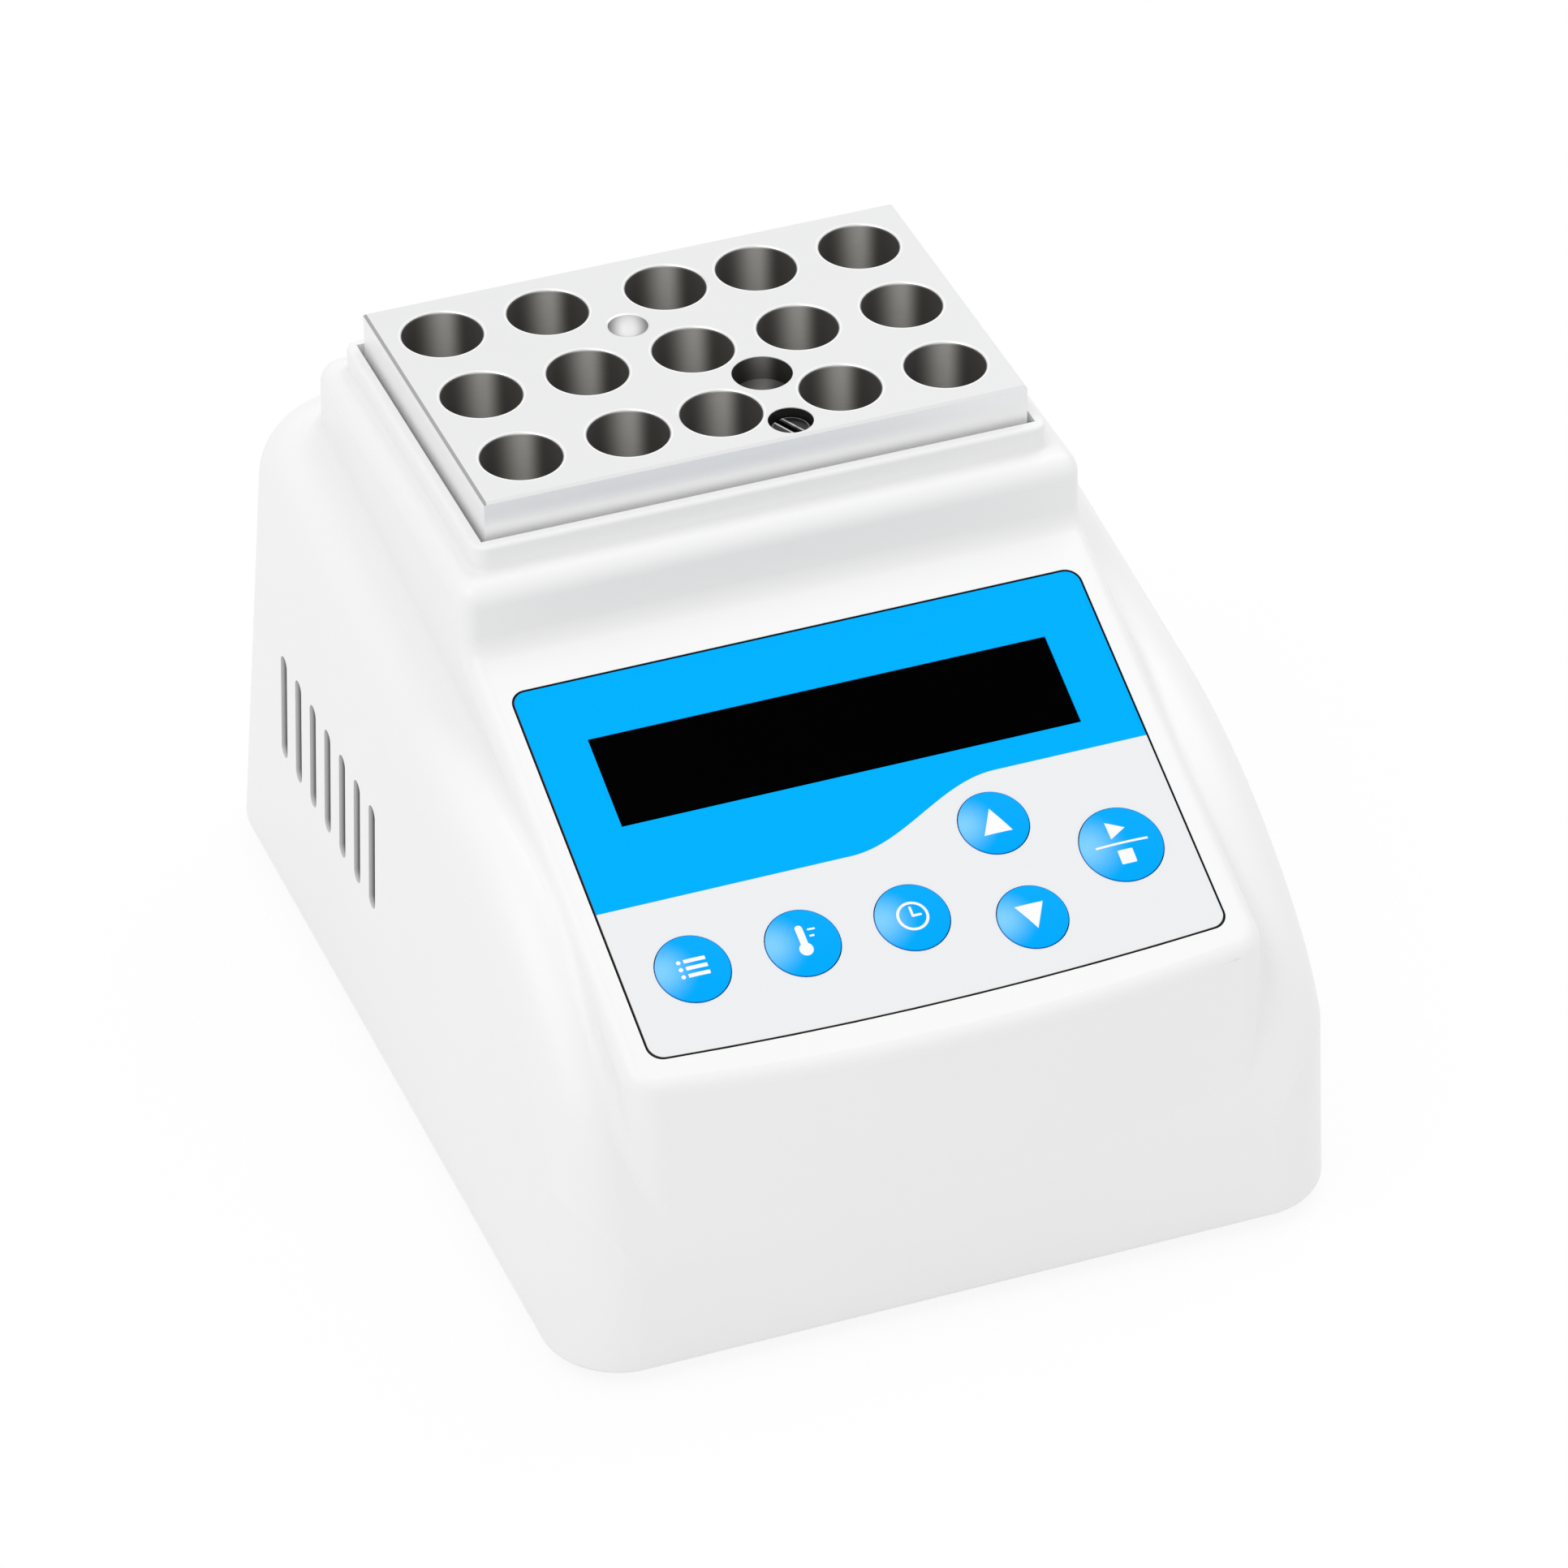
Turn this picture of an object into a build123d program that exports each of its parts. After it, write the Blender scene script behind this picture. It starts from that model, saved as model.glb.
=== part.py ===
from build123d import *
from math import cos, radians, sin, tan
import os

os.makedirs("parts", exist_ok=True)

# Everything is in millimetres and is drawn about the middle of the housing, on the bench.
# The pieces are written with the origin under the middle of the whole depth, rocker included.
# X points to the right of someone facing the keys, Y to the back, Z up.

# housing
cheek_width = 10.2
rim_height = 2.0
wall = 2.4
draft = 1.9
front_corner_radius = 11.0
back_draft = 3.5
back_corner_radius = 10.0
back_corner_growth = 8.0
cheek_edge_radius = 7.5
bottom_edge_radius = 1.2
front_upright = 15.0
nose_radius = 36.0
nose_turn = 45.0
brow_radius = 72.0
cheek_slope = 7.3
taper_height = 100.0
touching = 0.001
wall_tilt = 30.0

# raised centre that carries the keys and the heated block
pedestal_ledge = 4.25
pedestal_back = 4.6
back_setback = 13.4
centre_draft = 0.7
centre_setback = 0.15
centre_bow = 2.8
centre_bow_start = 0.1
bow_rise = 28.0
centre_front_corner = 4.5
centre_back_corner = 4.0
centre_edge_radius = 2.4
centre_bend_radius = 3.0
centre_foot_radius = 2.0
pedestal_top = 81.7
pedestal_lean = 0.4

# sloping console
console_tilt = 23.0
console_setback = 46.3
console_to_block = 27.4
console_z = 63.1
console_rise = 23.6
console_fall = 60.0

# block and its opening
block_height = 40.0
block_top = 91.0
block_chamfer = 0.35
block_gap = 0.85
collar_wall = 1.5
collar_top = 85.6
collar_edge_radius = 0.6
collar_foot_radius = 0.8
well_radius = 5.5
well_depth = 30.0
well_cone = 6.0
well_cone_angle = 30.0
well_pitch_x = 15.13
well_pitch_y = 16.0
well_shift = 1.93
well_columns = 5
well_rows = 3
well_margin_x = 2.84
well_margin_y = 3.35
rim_chamfer = 0.25
pocket_radius = 4.15
pocket_depth = 3.6
pocket_x = 6.6
pocket_y = -8.9
dimple_radius = 3.05
dimple_depth = 1.4
dimple_x = -6.1
dimple_y = 8.9
drill_point_angle = 31.0

# screw that holds the block down
screw_x = 6.1
screw_y = -21.0
screw_bore_radius = 3.1
screw_sink = 1.2
screw_head_radius = 2.9
screw_head_height = 4.0
screw_slot_width = 1.1
screw_slot_depth = 1.4
screw_slot_angle = 115.0
screw_edge = 0.4
shank_radius = 2.45
shank_fit = 0.08
shank_reach = 6.5
shank_spare = 0.8

# heater under the block
plate_height = 8.0
film_thickness = 1.5
film_margin_x = 8.6
film_margin_y = 2.85
film_corner_radius = 2.0
pad_thickness = 8.0
sleeve_wall = 3.0
sleeve_gap = 0.5
sleeve_top = 60.0
sleeve_hole_fit = 0.3
carrier_thickness = 1.5
carrier_reach = 4.8
carrier_lip = 0.05
carrier_bend_drop = 5.0
carrier_bend_radius = 1.4
pillar_reach_x = 7.9
pillar_inset_y = 6.85
pillar_radius = 3.0
pillar_spare = 1.0
spacer_inset_x = 4.6
spacer_inset_y = 4.85
spacer_radius = 2.8
probe_x = 15.0
probe_radius = 2.0
probe_fit = 0.05
probe_depth = 20.0
probe_tail = 6.0
probe_spare = 0.5
probe_tip_round = 0.8
probe_crimp = 0.3
probe_crimp_length = 2.0
fuse_depth = 12.0

# screws of the M3 size
small_shank = 1.4
small_fit = 0.05
small_head_radius = 2.7
small_head_height = 1.8
small_bite = 5.0
countersink_angle = 90.0
hex_sides = 6
cross_length = 2.8
cross_width = 0.6
cross_depth = 0.8
small_head_round = 0.6

# base
foot_height = 3.0
base_thickness = 2.0
base_gap = 0.3
boss_radius = 4.0
boss_inset_x = 11.4
boss_inset_front = 15.3
boss_inset_back = 11.3
boss_bore = 10.0
foot_inset_x = 19.4
foot_inset_y = 20.3
foot_shift_front = 6.0
foot_radius = 6.0
foot_edge = 0.8
spigot_radius = 1.9
spigot_fit = 0.05

# membrane panel
panel_margin = 4.9
panel_top = 16.2
panel_side_bottom = -41.6
panel_bow = 1.5
panel_corner = 2.0
panel_recess = 0.9
panel_thickness = 0.75
panel_gap = 0.25

# display
lens_margin = 7.9
lens_height = 13.8
lens_fit = 0.1
lens_flange = 2.0
lens_flange_thickness = 1.0
bezel_margin = 3.2
bezel_height = 24.2
bezel_thickness = 6.5
bezel_wall = 0.6
glass_thickness = 2.8
glass_fit = 0.15
backlight_corner_radius = 0.8
display_board_margin = 2.6
display_board_height = 32.2
display_board_rise = 2.5
board_thickness = 1.6
display_hole_spare = 0.3
display_hole_y = 13.5
board_boss_radius = 2.4
board_bite = 4.5
board_screw_spare = 0.5

# keys
small_key_radius = 4.75
middle_key_radius = 5.0
large_key_radius = 5.65
key_row = -30.0
key_margin = 4.7
arrow_key_x = 15.5
up_key_y = -19.0
down_key_y = -34.0
start_key_margin = 3.75
start_key_y = -26.5
key_fit = 0.15
key_edge_lift = 0.12
key_dome = 0.4
key_flange = 0.9
key_flange_thickness = 0.9
key_travel = 0.35
stem_radius = 1.6
stem_length = 0.2
plunger_radius = 1.7
plunger_length = 1.4
plunger_fit = 0.1
plunger_show = 0.5
switch_width = 6.0
switch_height = 3.5
switch_corner_radius = 0.5
keypad_half_width = 34.5
keypad_top = -14.2
keypad_bottom = -41.0
keypad_hole_x = 31.0
keypad_hole_top = -17.0
keypad_low_hole_x = 24.0
keypad_hole_bottom = -38.5

# control board
control_inset = 7.2
control_inset_front = 14.3
control_depth = 56.0
control_hole_margin = 3.5
standoff_height = 8.0
standoff_radius = 2.6
sink_width = 25.0
sink_depth = 12.0
sink_height = 20.0
sink_back = 2.5
sink_fins = 6
fin_thickness = 1.2
sink_x = 18.0
sink_inset = 12.0
transistor_width = 10.2
transistor_depth = 4.5
transistor_height = 15.5
transistor_body = 9.2
transistor_leg_length = 4.0
transistor_leg_width = 0.8
transistor_leg_pitch = 2.54
tab_thickness = 1.3
tab_hole_radius = 1.8
tab_hole_margin = 2.8
capacitor_radius = 5.0
capacitor_height = 16.0
capacitor_x = -24.0
capacitor_inset = 14.0
capacitor_pitch = 12.0
capacitor_edge = 0.8
capacitor_groove = 2.0
groove_depth = 0.4
terminal_width = 15.0
terminal_depth = 8.0
terminal_height = 10.0
terminal_x = 21.0
terminal_inset = 12.0
terminal_pitch = 17.0
terminal_edge = 1.5
terminal_screw_depth = 2.0
terminal_way_height = 3.2
terminal_way_depth = 5.0
terminal_way_radius = 1.5
terminal_ways = 3
terminal_way_pitch = 4.6
chip_width = 10.0
chip_height = 1.6
chip_edge = 0.2
leg_pitch = 0.8
leg_count = 11
leg_width = 0.35
leg_reach = 1.0
leg_height = 0.4
chip_x = -6.0
chip_inset = 30.0
buzzer_radius = 6.0
buzzer_height = 9.0
buzzer_hole = 1.0
buzzer_hole_depth = 1.5
buzzer_edge = 0.6
buzzer_x = -24.0
buzzer_inset = 14.0

# vents in both cheeks
vent_count = 7
vent_pitch = 6.3
vent_width = 2.6
vent_length = 16.7
vent_shift = -0.3
vent_z = 33.7
vent_reach = 12.0

# back panel
socket_z = 22.0
rocker_x = 22.0
inlet_x = -22.0
switch_opening_width = 13.0
switch_opening_height = 19.4
switch_bezel_width = 15.0
switch_bezel_height = 21.2
switch_bezel_thickness = 1.8
switch_body_depth = 14.0
switch_fit = 0.15
switch_wall = 1.3
switch_corner = 1.0
switch_bezel_edge = 0.5
snap_fit = 0.1
snap_height = 0.7
snap_length = 3.0
snap_width = 6.0
rocker_gap = 0.3
rocker_swing = 20.0
rocker_half_height = 6.5
rocker_end_height = 9.2
rocker_middle_height = 7.6
rocker_shoulder = 4.5
rocker_pivot_depth = 5.5
rocker_root = 3.0
rocker_pin_radius = 1.2
rocker_pin_fit = 0.05
rocker_pin_length = 12.0
terminal_blade_pitch = 7.0
terminal_blade_width = 4.8
terminal_blade_thickness = 0.8
terminal_blade_length = 5.0
inlet_radius = 5.5
inlet_flange_radius = 7.0
inlet_flange_thickness = 1.6
inlet_body_depth = 14.0
inlet_bore_radius = 3.2
inlet_bore_depth = 10.0
inlet_pin_radius = 1.05
inlet_pin_fit = 0.05
inlet_pin_root = 3.0
inlet_pin_recess = 1.2
inlet_pin_round = 0.5
inlet_edge = 0.4
inlet_fit = 0.1
inlet_nut_thickness = 2.2
inlet_nut_radius = 8.0

# planes and levels that follow from the sizes above
lean = tan(radians(draft))
back_lean = tan(radians(back_draft))
centre_lean = tan(radians(centre_draft))
block_width = (well_columns - 1) * well_pitch_x + 2 * (well_radius + well_margin_x)
block_depth = (well_rows - 1) * well_pitch_y + 2 * (well_radius + well_margin_y)
opening_width = block_width + 2 * block_gap
opening_depth = block_depth + 2 * block_gap
centre_half_width = opening_width / 2 + collar_wall + pedestal_ledge
housing_width = 2 * (centre_half_width + cheek_width)
pedestal_depth = opening_depth + collar_wall + pedestal_back
housing_depth = console_setback + console_to_block + pedestal_depth + back_setback
front_y = -housing_depth / 2
back_y = housing_depth / 2
half_width = housing_width / 2
console_y = front_y + console_setback
block_y = console_y + console_to_block + opening_depth / 2
centre_back = back_y - back_setback
panel_half_width = centre_half_width - panel_margin
lens_width = 2 * (panel_half_width - lens_margin)
bezel_width = lens_width + 2 * bezel_margin
display_hole_x = bezel_width / 2 + board_boss_radius + display_hole_spare
display_board_width = 2 * (display_hole_x + display_board_margin)
key_pitch = (panel_half_width - key_margin - middle_key_radius) / 2
start_key_x = panel_half_width - start_key_margin - large_key_radius
boss_x = half_width - boss_inset_x
boss_front_y = front_y + boss_inset_front
boss_back_y = back_y - boss_inset_back
foot_x = half_width - foot_inset_x
foot_y = back_y - foot_inset_y
carrier_half_width = centre_half_width + carrier_reach
pillar_x = block_width / 2 + pillar_reach_x
pillar_y = block_depth / 2 - pillar_inset_y
spacer_x = block_width / 2 - spacer_inset_x
spacer_y = block_depth / 2 - spacer_inset_y
control_half_width = centre_half_width - control_inset
control_front = front_y + control_inset_front
control_back = control_front + control_depth
sink_y = control_back - sink_inset
capacitor_y = control_back - capacitor_inset
chip_y = control_back - chip_inset
terminal_y = control_front + terminal_inset
buzzer_y = control_front + buzzer_inset
vent_y = block_y + vent_shift
base_top = foot_height + base_thickness
block_bottom = block_top - block_height
plate_bottom = block_bottom - plate_height
film_bottom = plate_bottom - film_thickness
carrier_top = film_bottom - pad_thickness
carrier_bottom = carrier_top - carrier_thickness
small_hole = small_shank + small_fit
panel_floor = -panel_recess
panel_face = panel_floor + panel_thickness
lens_flange_top = -wall
bezel_top = lens_flange_top - lens_flange_thickness
display_board_top = bezel_top - bezel_thickness
flange_bottom = -wall - key_flange_thickness
plunger_top = flange_bottom - stem_length
switch_top = plunger_top - plunger_show
keypad_board_top = switch_top - switch_height
rocker_reach = rocker_end_height - rocker_pivot_depth
control_board_bottom = base_top + standoff_height
control_board_top = control_board_bottom + board_thickness

console = Plane(
    origin=(0, console_y, console_z),
    x_dir=(1, 0, 0),
    z_dir=(0, -sin(radians(console_tilt)), cos(radians(console_tilt))),
)


def back_plane(x, z):
    """Plane on the outer face of the back wall, with its normal pointing away from the housing."""
    y = back_y - back_lean * (z - rim_height)
    outward = (0, cos(radians(back_draft)), sin(radians(back_draft)))
    return Plane(origin=(x, y, z), x_dir=(-1, 0, 0), z_dir=outward)


def save(piece, name):
    """Write one piece, with the frame's origin under the middle of the whole depth."""
    placed = piece.part.moved(Location((0, -rocker_reach / 2, 0)))
    placed.label = name
    export_step(placed, f"parts/{name}.step")


# side view of the hull: drafted front, nose, brow, then a nearly flat top
def hull_side(inset):
    rest_turn = 90 - draft - nose_turn - cheek_slope
    inward = Vector(cos(radians(draft)), -sin(radians(draft))) * inset
    bottom = Vector(front_y, rim_height)
    shoulder = Vector(front_y + lean * front_upright, rim_height + front_upright)
    with BuildSketch(Plane.YZ) as side:
        with BuildLine():
            front = Line(bottom + inward - Vector(0, wall), shoulder + inward)
            nose = JernArc(front @ 1, front % 1, nose_radius - inset, -nose_turn)
            brow = JernArc(nose @ 1, nose % 1, brow_radius - inset, -rest_turn)
            top = Line(brow @ 1, brow @ 1 + (brow % 1) * housing_depth)
            Polyline(top @ 1, ((top @ 1).X, (front @ 0).Y), front @ 0)
        make_face()
    return side.sketch


# plan of the hull at some rise above its rim; the back corners grow rounder towards the top,
# and the front reaches further than the side view, which trims it
def hull_plan(rise, inset):
    front = front_y - wall
    back = back_y - inset - back_lean * rise
    with BuildSketch(Plane.XY.offset(rim_height + rise)) as plan:
        with Locations((0, front)):
            Rectangle(2 * (half_width - inset - lean * rise), back - front, align=(Align.CENTER, Align.MIN))
        back_corners = plan.vertices().group_by(Axis.Y)[-1]
        fillet(back_corners, back_corner_radius + back_corner_growth * rise / taper_height - inset)
    return plan.sketch


# hull: tapered box cut by the side view, with its upper edges rounded
def hull_body(inset, edge_radius):
    with BuildPart() as body:
        loft([hull_plan(0, inset), hull_plan(taper_height, inset)], ruled=True)
        extrude(hull_side(inset), amount=half_width, both=True, mode=Mode.INTERSECT)
        upper = body.edges().filter_by(lambda edge: edge.center().Z > rim_height + bottom_edge_radius)
        fillet(upper, edge_radius)
    return body


# raised centre: pedestal for the block at the back and sloping console at the front
def centre_plan(height, inset, bow):
    half = centre_half_width - inset - centre_lean * (height - rim_height)
    front = front_y + centre_setback + inset + lean * (height - rim_height)
    back = centre_back - inset - centre_lean * (height - rim_height)
    with BuildSketch(Plane.XY.offset(height)) as plan:
        with BuildLine():
            arc = ThreePointArc((-half, front + bow), (0, front), (half, front + bow))
            Polyline(arc @ 1, (half, back), (-half, back), arc @ 0)
        make_face()
        fillet(plan.vertices().group_by(Axis.Y)[0], centre_front_corner)
        fillet(plan.vertices().group_by(Axis.Y)[-1], centre_back_corner)
    return plan.sketch


def centre_body(inset, edge_radius):
    along = Vector(cos(radians(console_tilt)), sin(radians(console_tilt)))
    below = Vector(sin(radians(console_tilt)), -cos(radians(console_tilt))) * inset
    middle = Vector(console_y, console_z) + below
    low = middle - along * console_fall
    bend = middle + along * (console_rise + inset)
    shoulder = Vector(bend.X + pedestal_lean, pedestal_top - inset)
    start = rim_height + front_upright
    with BuildPart() as body:
        # the front starts straight and bows out more and more towards the console
        low_plan = centre_plan(start, inset, centre_bow_start)
        high_plan = centre_plan(start + taper_height, inset, centre_bow * taper_height / bow_rise)
        loft([low_plan, high_plan], ruled=True)
        walls = body.faces().filter_by(lambda face: abs(face.normal_at().Z) < sin(radians(wall_tilt)))
        with BuildSketch(Plane.YZ) as side:
            with BuildLine():
                Polyline(
                    (low.X, start),
                    (low.X, low.Y),
                    (bend.X, bend.Y),
                    (shoulder.X, shoulder.Y),
                    (housing_depth, shoulder.Y),
                    (housing_depth, start),
                    close=True,
                )
            make_face()
            bends = side.vertices().filter_by(lambda point: low.X < point.X < housing_depth)
            fillet(bends, centre_bend_radius)
        extrude(side.sketch, amount=half_width, both=True, mode=Mode.INTERSECT)
        if edge_radius:
            fillet(rim_edges(body, walls), edge_radius)
    return body


# edges where the outer walls of a body meet its upper faces
def rim_edges(body, walls):
    def on_wall(face):
        point = face.position_at(0.5, 0.5)
        return min(wall_face.distance_to(point) for wall_face in walls) < touching

    start = rim_height + front_upright
    crown = [face for face in body.faces() if not on_wall(face) and face.center().Z > start]
    edges = [edge for face in crown for edge in face.edges()]
    return [edge for edge in edges if sum(edge == other for other in edges) == 1]


def moved(points, shift):
    """The same places, each moved by the shift."""
    return [(x + shift[0], y + shift[1]) for x, y in points]


def corners(x, y):
    return [(-x, -y), (x, -y), (x, y), (-x, y)]


# places of everything that comes in groups
well_grid = [
    (
        (column - (well_columns - 1) / 2) * well_pitch_x
        + (well_shift * (row - (well_rows - 1) / 2) if column == (well_columns - 1) / 2 else 0),
        block_y + (row - (well_rows - 1) / 2) * well_pitch_y,
    )
    for column in range(well_columns)
    for row in range(well_rows)
]
pillar_places = moved(corners(pillar_x, pillar_y), (0, block_y))
spacer_places = moved(corners(spacer_x, spacer_y), (0, block_y))
boss_places = [(-boss_x, boss_front_y), (boss_x, boss_front_y), (-boss_x, boss_back_y), (boss_x, boss_back_y)]
foot_places = [(x, y + foot_shift_front * (y < 0)) for x, y in corners(foot_x, foot_y)]
control_places = [
    (x, y)
    for x in (-control_half_width + control_hole_margin, control_half_width - control_hole_margin)
    for y in (control_front + control_hole_margin, control_back - control_hole_margin)
]
display_places = moved(corners(display_hole_x, display_hole_y), (0, display_board_rise))
keypad_places = [
    (-keypad_hole_x, keypad_hole_top),
    (keypad_hole_x, keypad_hole_top),
    (-keypad_low_hole_x, keypad_hole_bottom),
    (keypad_low_hole_x, keypad_hole_bottom),
]
keys = {
    "program": (-2 * key_pitch, key_row, middle_key_radius),
    "temperature": (-key_pitch, key_row, middle_key_radius),
    "time": (0, key_row, middle_key_radius),
    "up": (arrow_key_x, up_key_y, small_key_radius),
    "down": (arrow_key_x, down_key_y, small_key_radius),
    "start_stop": (start_key_x, start_key_y, large_key_radius),
}
vent_places = [
    (vent_y + (index - (vent_count - 1) / 2) * vent_pitch, vent_z) for index in range(vent_count)
]
rocker_plane = back_plane(rocker_x, socket_z)
inlet_plane = back_plane(inlet_x, socket_z)


# outline of the membrane panel, with its lower edge bowed, grown or shrunk by a gap
def panel_outline(grow):
    half = panel_half_width + grow
    top = panel_top + grow
    bottom = panel_side_bottom - grow
    with BuildSketch(mode=Mode.PRIVATE) as outline:
        with BuildLine():
            bow = ThreePointArc((-half, bottom), (0, bottom - panel_bow), (half, bottom))
            Polyline(bow @ 1, (half, top), (-half, top), bow @ 0)
        make_face()
        fillet(outline.vertices(), panel_corner + grow)
    return outline.sketch


# housing: one moulded shell, open underneath
with BuildPart() as hull:
    add(hull_body(0, cheek_edge_radius).part)

    # the upright front corners are rounder than the cheeks
    with BuildSketch(Plane.XY.offset(rim_height)) as plan:
        Rectangle(housing_width, housing_depth)
        fillet(plan.vertices().group_by(Axis.Y)[0], front_corner_radius)
    extrude(amount=taper_height, taper=draft, mode=Mode.INTERSECT)
centre = centre_body(0, centre_edge_radius)
hull_inside = hull_body(wall, front_corner_radius - wall)
hull_middle = hull_body(wall / 2, cheek_edge_radius)
centre_inside = centre_body(wall, 0)

with BuildPart() as upper_housing:
    add(hull.part)
    add(centre.part)

    # fillet where the centre rises out of the cheeks
    def on_seam(edge):
        point = edge.position_at(0.5)
        beside = abs(point.X) > centre_half_width - centre_front_corner or point.Y > 0
        if not beside or abs(point.X) > centre_half_width or point.Z < rim_height + front_upright:
            return False
        near_hull = min(face.distance_to(point) for face in hull.faces()) < touching
        near_centre = min(face.distance_to(point) for face in centre.faces()) < touching
        return near_hull and near_centre

    fillet(upper_housing.edges().filter_by(on_seam), centre_foot_radius)

    # collar round the block
    with BuildSketch(Plane.XY.offset(pedestal_top - wall)):
        with Locations((0, block_y)):
            RectangleRounded(
                opening_width + 2 * collar_wall,
                opening_depth + 2 * collar_wall,
                collar_wall + collar_edge_radius,
            )
    extrude(amount=collar_top - pedestal_top + wall)
    fillet(upper_housing.faces().sort_by(Axis.Z)[-1].edges(), collar_edge_radius)
    collar_foot = upper_housing.edges().filter_by(
        lambda edge: abs(edge.center().Z - pedestal_top) < touching
        and abs(edge.center().X) < opening_width / 2 + collar_wall + collar_edge_radius / 2
        and abs(edge.center().Y - block_y) < opening_depth / 2 + collar_wall + collar_edge_radius / 2
    )
    fillet(collar_foot, collar_foot_radius)
    rim = upper_housing.edges().filter_by(lambda edge: abs(edge.center().Z - rim_height) < touching)
    fillet(rim, bottom_edge_radius)

    # hollow
    add(hull_inside.part, mode=Mode.SUBTRACT)
    add(centre_inside.part, mode=Mode.SUBTRACT)

    # tall screw bosses for the base plate, which end inside the wall above them
    with BuildPart(mode=Mode.PRIVATE) as bosses:
        with BuildSketch(Plane.XY.offset(base_top)):
            with Locations(boss_places):
                Circle(boss_radius)
        extrude(amount=pedestal_top)
        add(hull_middle.part, mode=Mode.INTERSECT)
    add(bosses.part)
    with Locations([(x, y, base_top) for x, y in boss_places]):
        Cylinder(small_hole, boss_bore, align=(Align.CENTER, Align.CENTER, Align.MIN), mode=Mode.SUBTRACT)

    # opening for the block
    with BuildSketch(Plane.XY.offset(collar_top)):
        with Locations((0, block_y)):
            Rectangle(opening_width, opening_depth)
    extrude(amount=-(collar_top - block_bottom), mode=Mode.SUBTRACT)

    # bosses under the console for the two boards
    with BuildSketch(console.offset(-wall)):
        with Locations(display_places):
            Circle(board_boss_radius)
    extrude(amount=display_board_top + wall)
    with BuildSketch(console.offset(-wall)):
        with Locations(keypad_places):
            Circle(board_boss_radius)
    extrude(amount=keypad_board_top + wall)
    with BuildSketch(console.offset(display_board_top)):
        with Locations(display_places):
            Circle(small_hole)
    extrude(amount=board_bite, mode=Mode.SUBTRACT)
    with BuildSketch(console.offset(keypad_board_top)):
        with Locations(keypad_places):
            Circle(small_hole)
    extrude(amount=board_bite, mode=Mode.SUBTRACT)

    # recess for the membrane, window and key holes
    with BuildSketch(console):
        add(panel_outline(panel_gap))
    extrude(amount=-panel_recess, mode=Mode.SUBTRACT)
    with BuildSketch(console):
        Rectangle(lens_width + 2 * lens_fit, lens_height + 2 * lens_fit)
        for x, y, radius in keys.values():
            with Locations((x, y)):
                Circle(radius + key_fit)
    extrude(amount=-(wall + key_dome), mode=Mode.SUBTRACT)

    # vents in both cheeks
    for side in (-1, 1):
        with BuildSketch(Plane.YZ.offset(side * half_width)):
            with Locations(vent_places):
                SlotOverall(vent_length, vent_width, rotation=90)
        extrude(amount=-side * vent_reach, mode=Mode.SUBTRACT)

    # openings in the back wall
    with BuildSketch(rocker_plane):
        Rectangle(switch_opening_width, switch_opening_height)
    extrude(amount=-2 * wall, mode=Mode.SUBTRACT)
    with BuildSketch(inlet_plane):
        Circle(inlet_radius + inlet_fit)
    extrude(amount=-2 * wall, mode=Mode.SUBTRACT)
save(upper_housing, "upper_housing")


# screws of one size, made along Z with the seat of the head at height 0
def cross_slots():
    with BuildSketch(mode=Mode.PRIVATE) as cross:
        Rectangle(cross_length, cross_width)
        Rectangle(cross_width, cross_length)
    return cross.sketch


def flat_screw(reach):
    """Countersunk screw whose flat head ends at height 0."""
    with BuildPart() as screw:
        with BuildSketch(Plane.XZ):
            with BuildLine():
                Polyline(
                    (0, 0),
                    (small_head_radius, 0),
                    (small_shank, (small_shank - small_head_radius) / tan(radians(countersink_angle / 2))),
                    (small_shank, -reach),
                    (0, -reach),
                    close=True,
                )
            make_face()
        revolve(axis=Axis.Z)
        add(cross_slots())
        extrude(amount=-cross_depth, mode=Mode.SUBTRACT)
    return screw.part


def round_screw(reach):
    """Screw with a low round head that stands on height 0."""
    with BuildPart() as screw:
        Cylinder(small_head_radius, small_head_height, align=(Align.CENTER, Align.CENTER, Align.MIN))
        fillet(screw.faces().sort_by(Axis.Z)[-1].edges(), small_head_round)
        Cylinder(small_shank, reach, align=(Align.CENTER, Align.CENTER, Align.MAX))
        with BuildSketch(Plane.XY.offset(small_head_height)):
            add(cross_slots())
        extrude(amount=-cross_depth, mode=Mode.SUBTRACT)
    return screw.part


def upright(points, height):
    return [Location((x, y, height)) for x, y in points]


def upside_down(points, height):
    return [Location((x, y, height), (180, 0, 0)) for x, y in points]


# base plate, set inside the rim of the housing
base_inset = wall + base_gap + lean * (base_top - rim_height)
with BuildPart() as base_plate:
    with BuildSketch(Plane.XY.offset(foot_height)):
        RectangleRounded(
            housing_width - 2 * base_inset, housing_depth - 2 * base_inset, front_corner_radius - wall
        )
        with Locations(control_places):
            Circle(spigot_radius + spigot_fit, mode=Mode.SUBTRACT)
    extrude(amount=base_thickness)
    with Locations(upside_down(boss_places + pillar_places, foot_height)):
        CounterSinkHole(small_hole, small_head_radius + base_gap, counter_sink_angle=countersink_angle)
save(base_plate, "base_plate")

with BuildPart() as base_screws:
    with Locations(upside_down(boss_places, foot_height + base_gap)):
        add(flat_screw(base_thickness + small_bite))
save(base_screws, "base_screws")

with BuildPart() as pillar_screws:
    with Locations(upside_down(pillar_places, foot_height + base_gap)):
        add(flat_screw(base_thickness + small_bite))
save(pillar_screws, "pillar_screws")

with BuildPart() as rubber_feet:
    with Locations(foot_places):
        Cylinder(foot_radius, foot_height, align=(Align.CENTER, Align.CENTER, Align.MIN))
    fillet(rubber_feet.edges().group_by(Axis.Z)[0], foot_edge)
save(rubber_feet, "rubber_feet")


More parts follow.
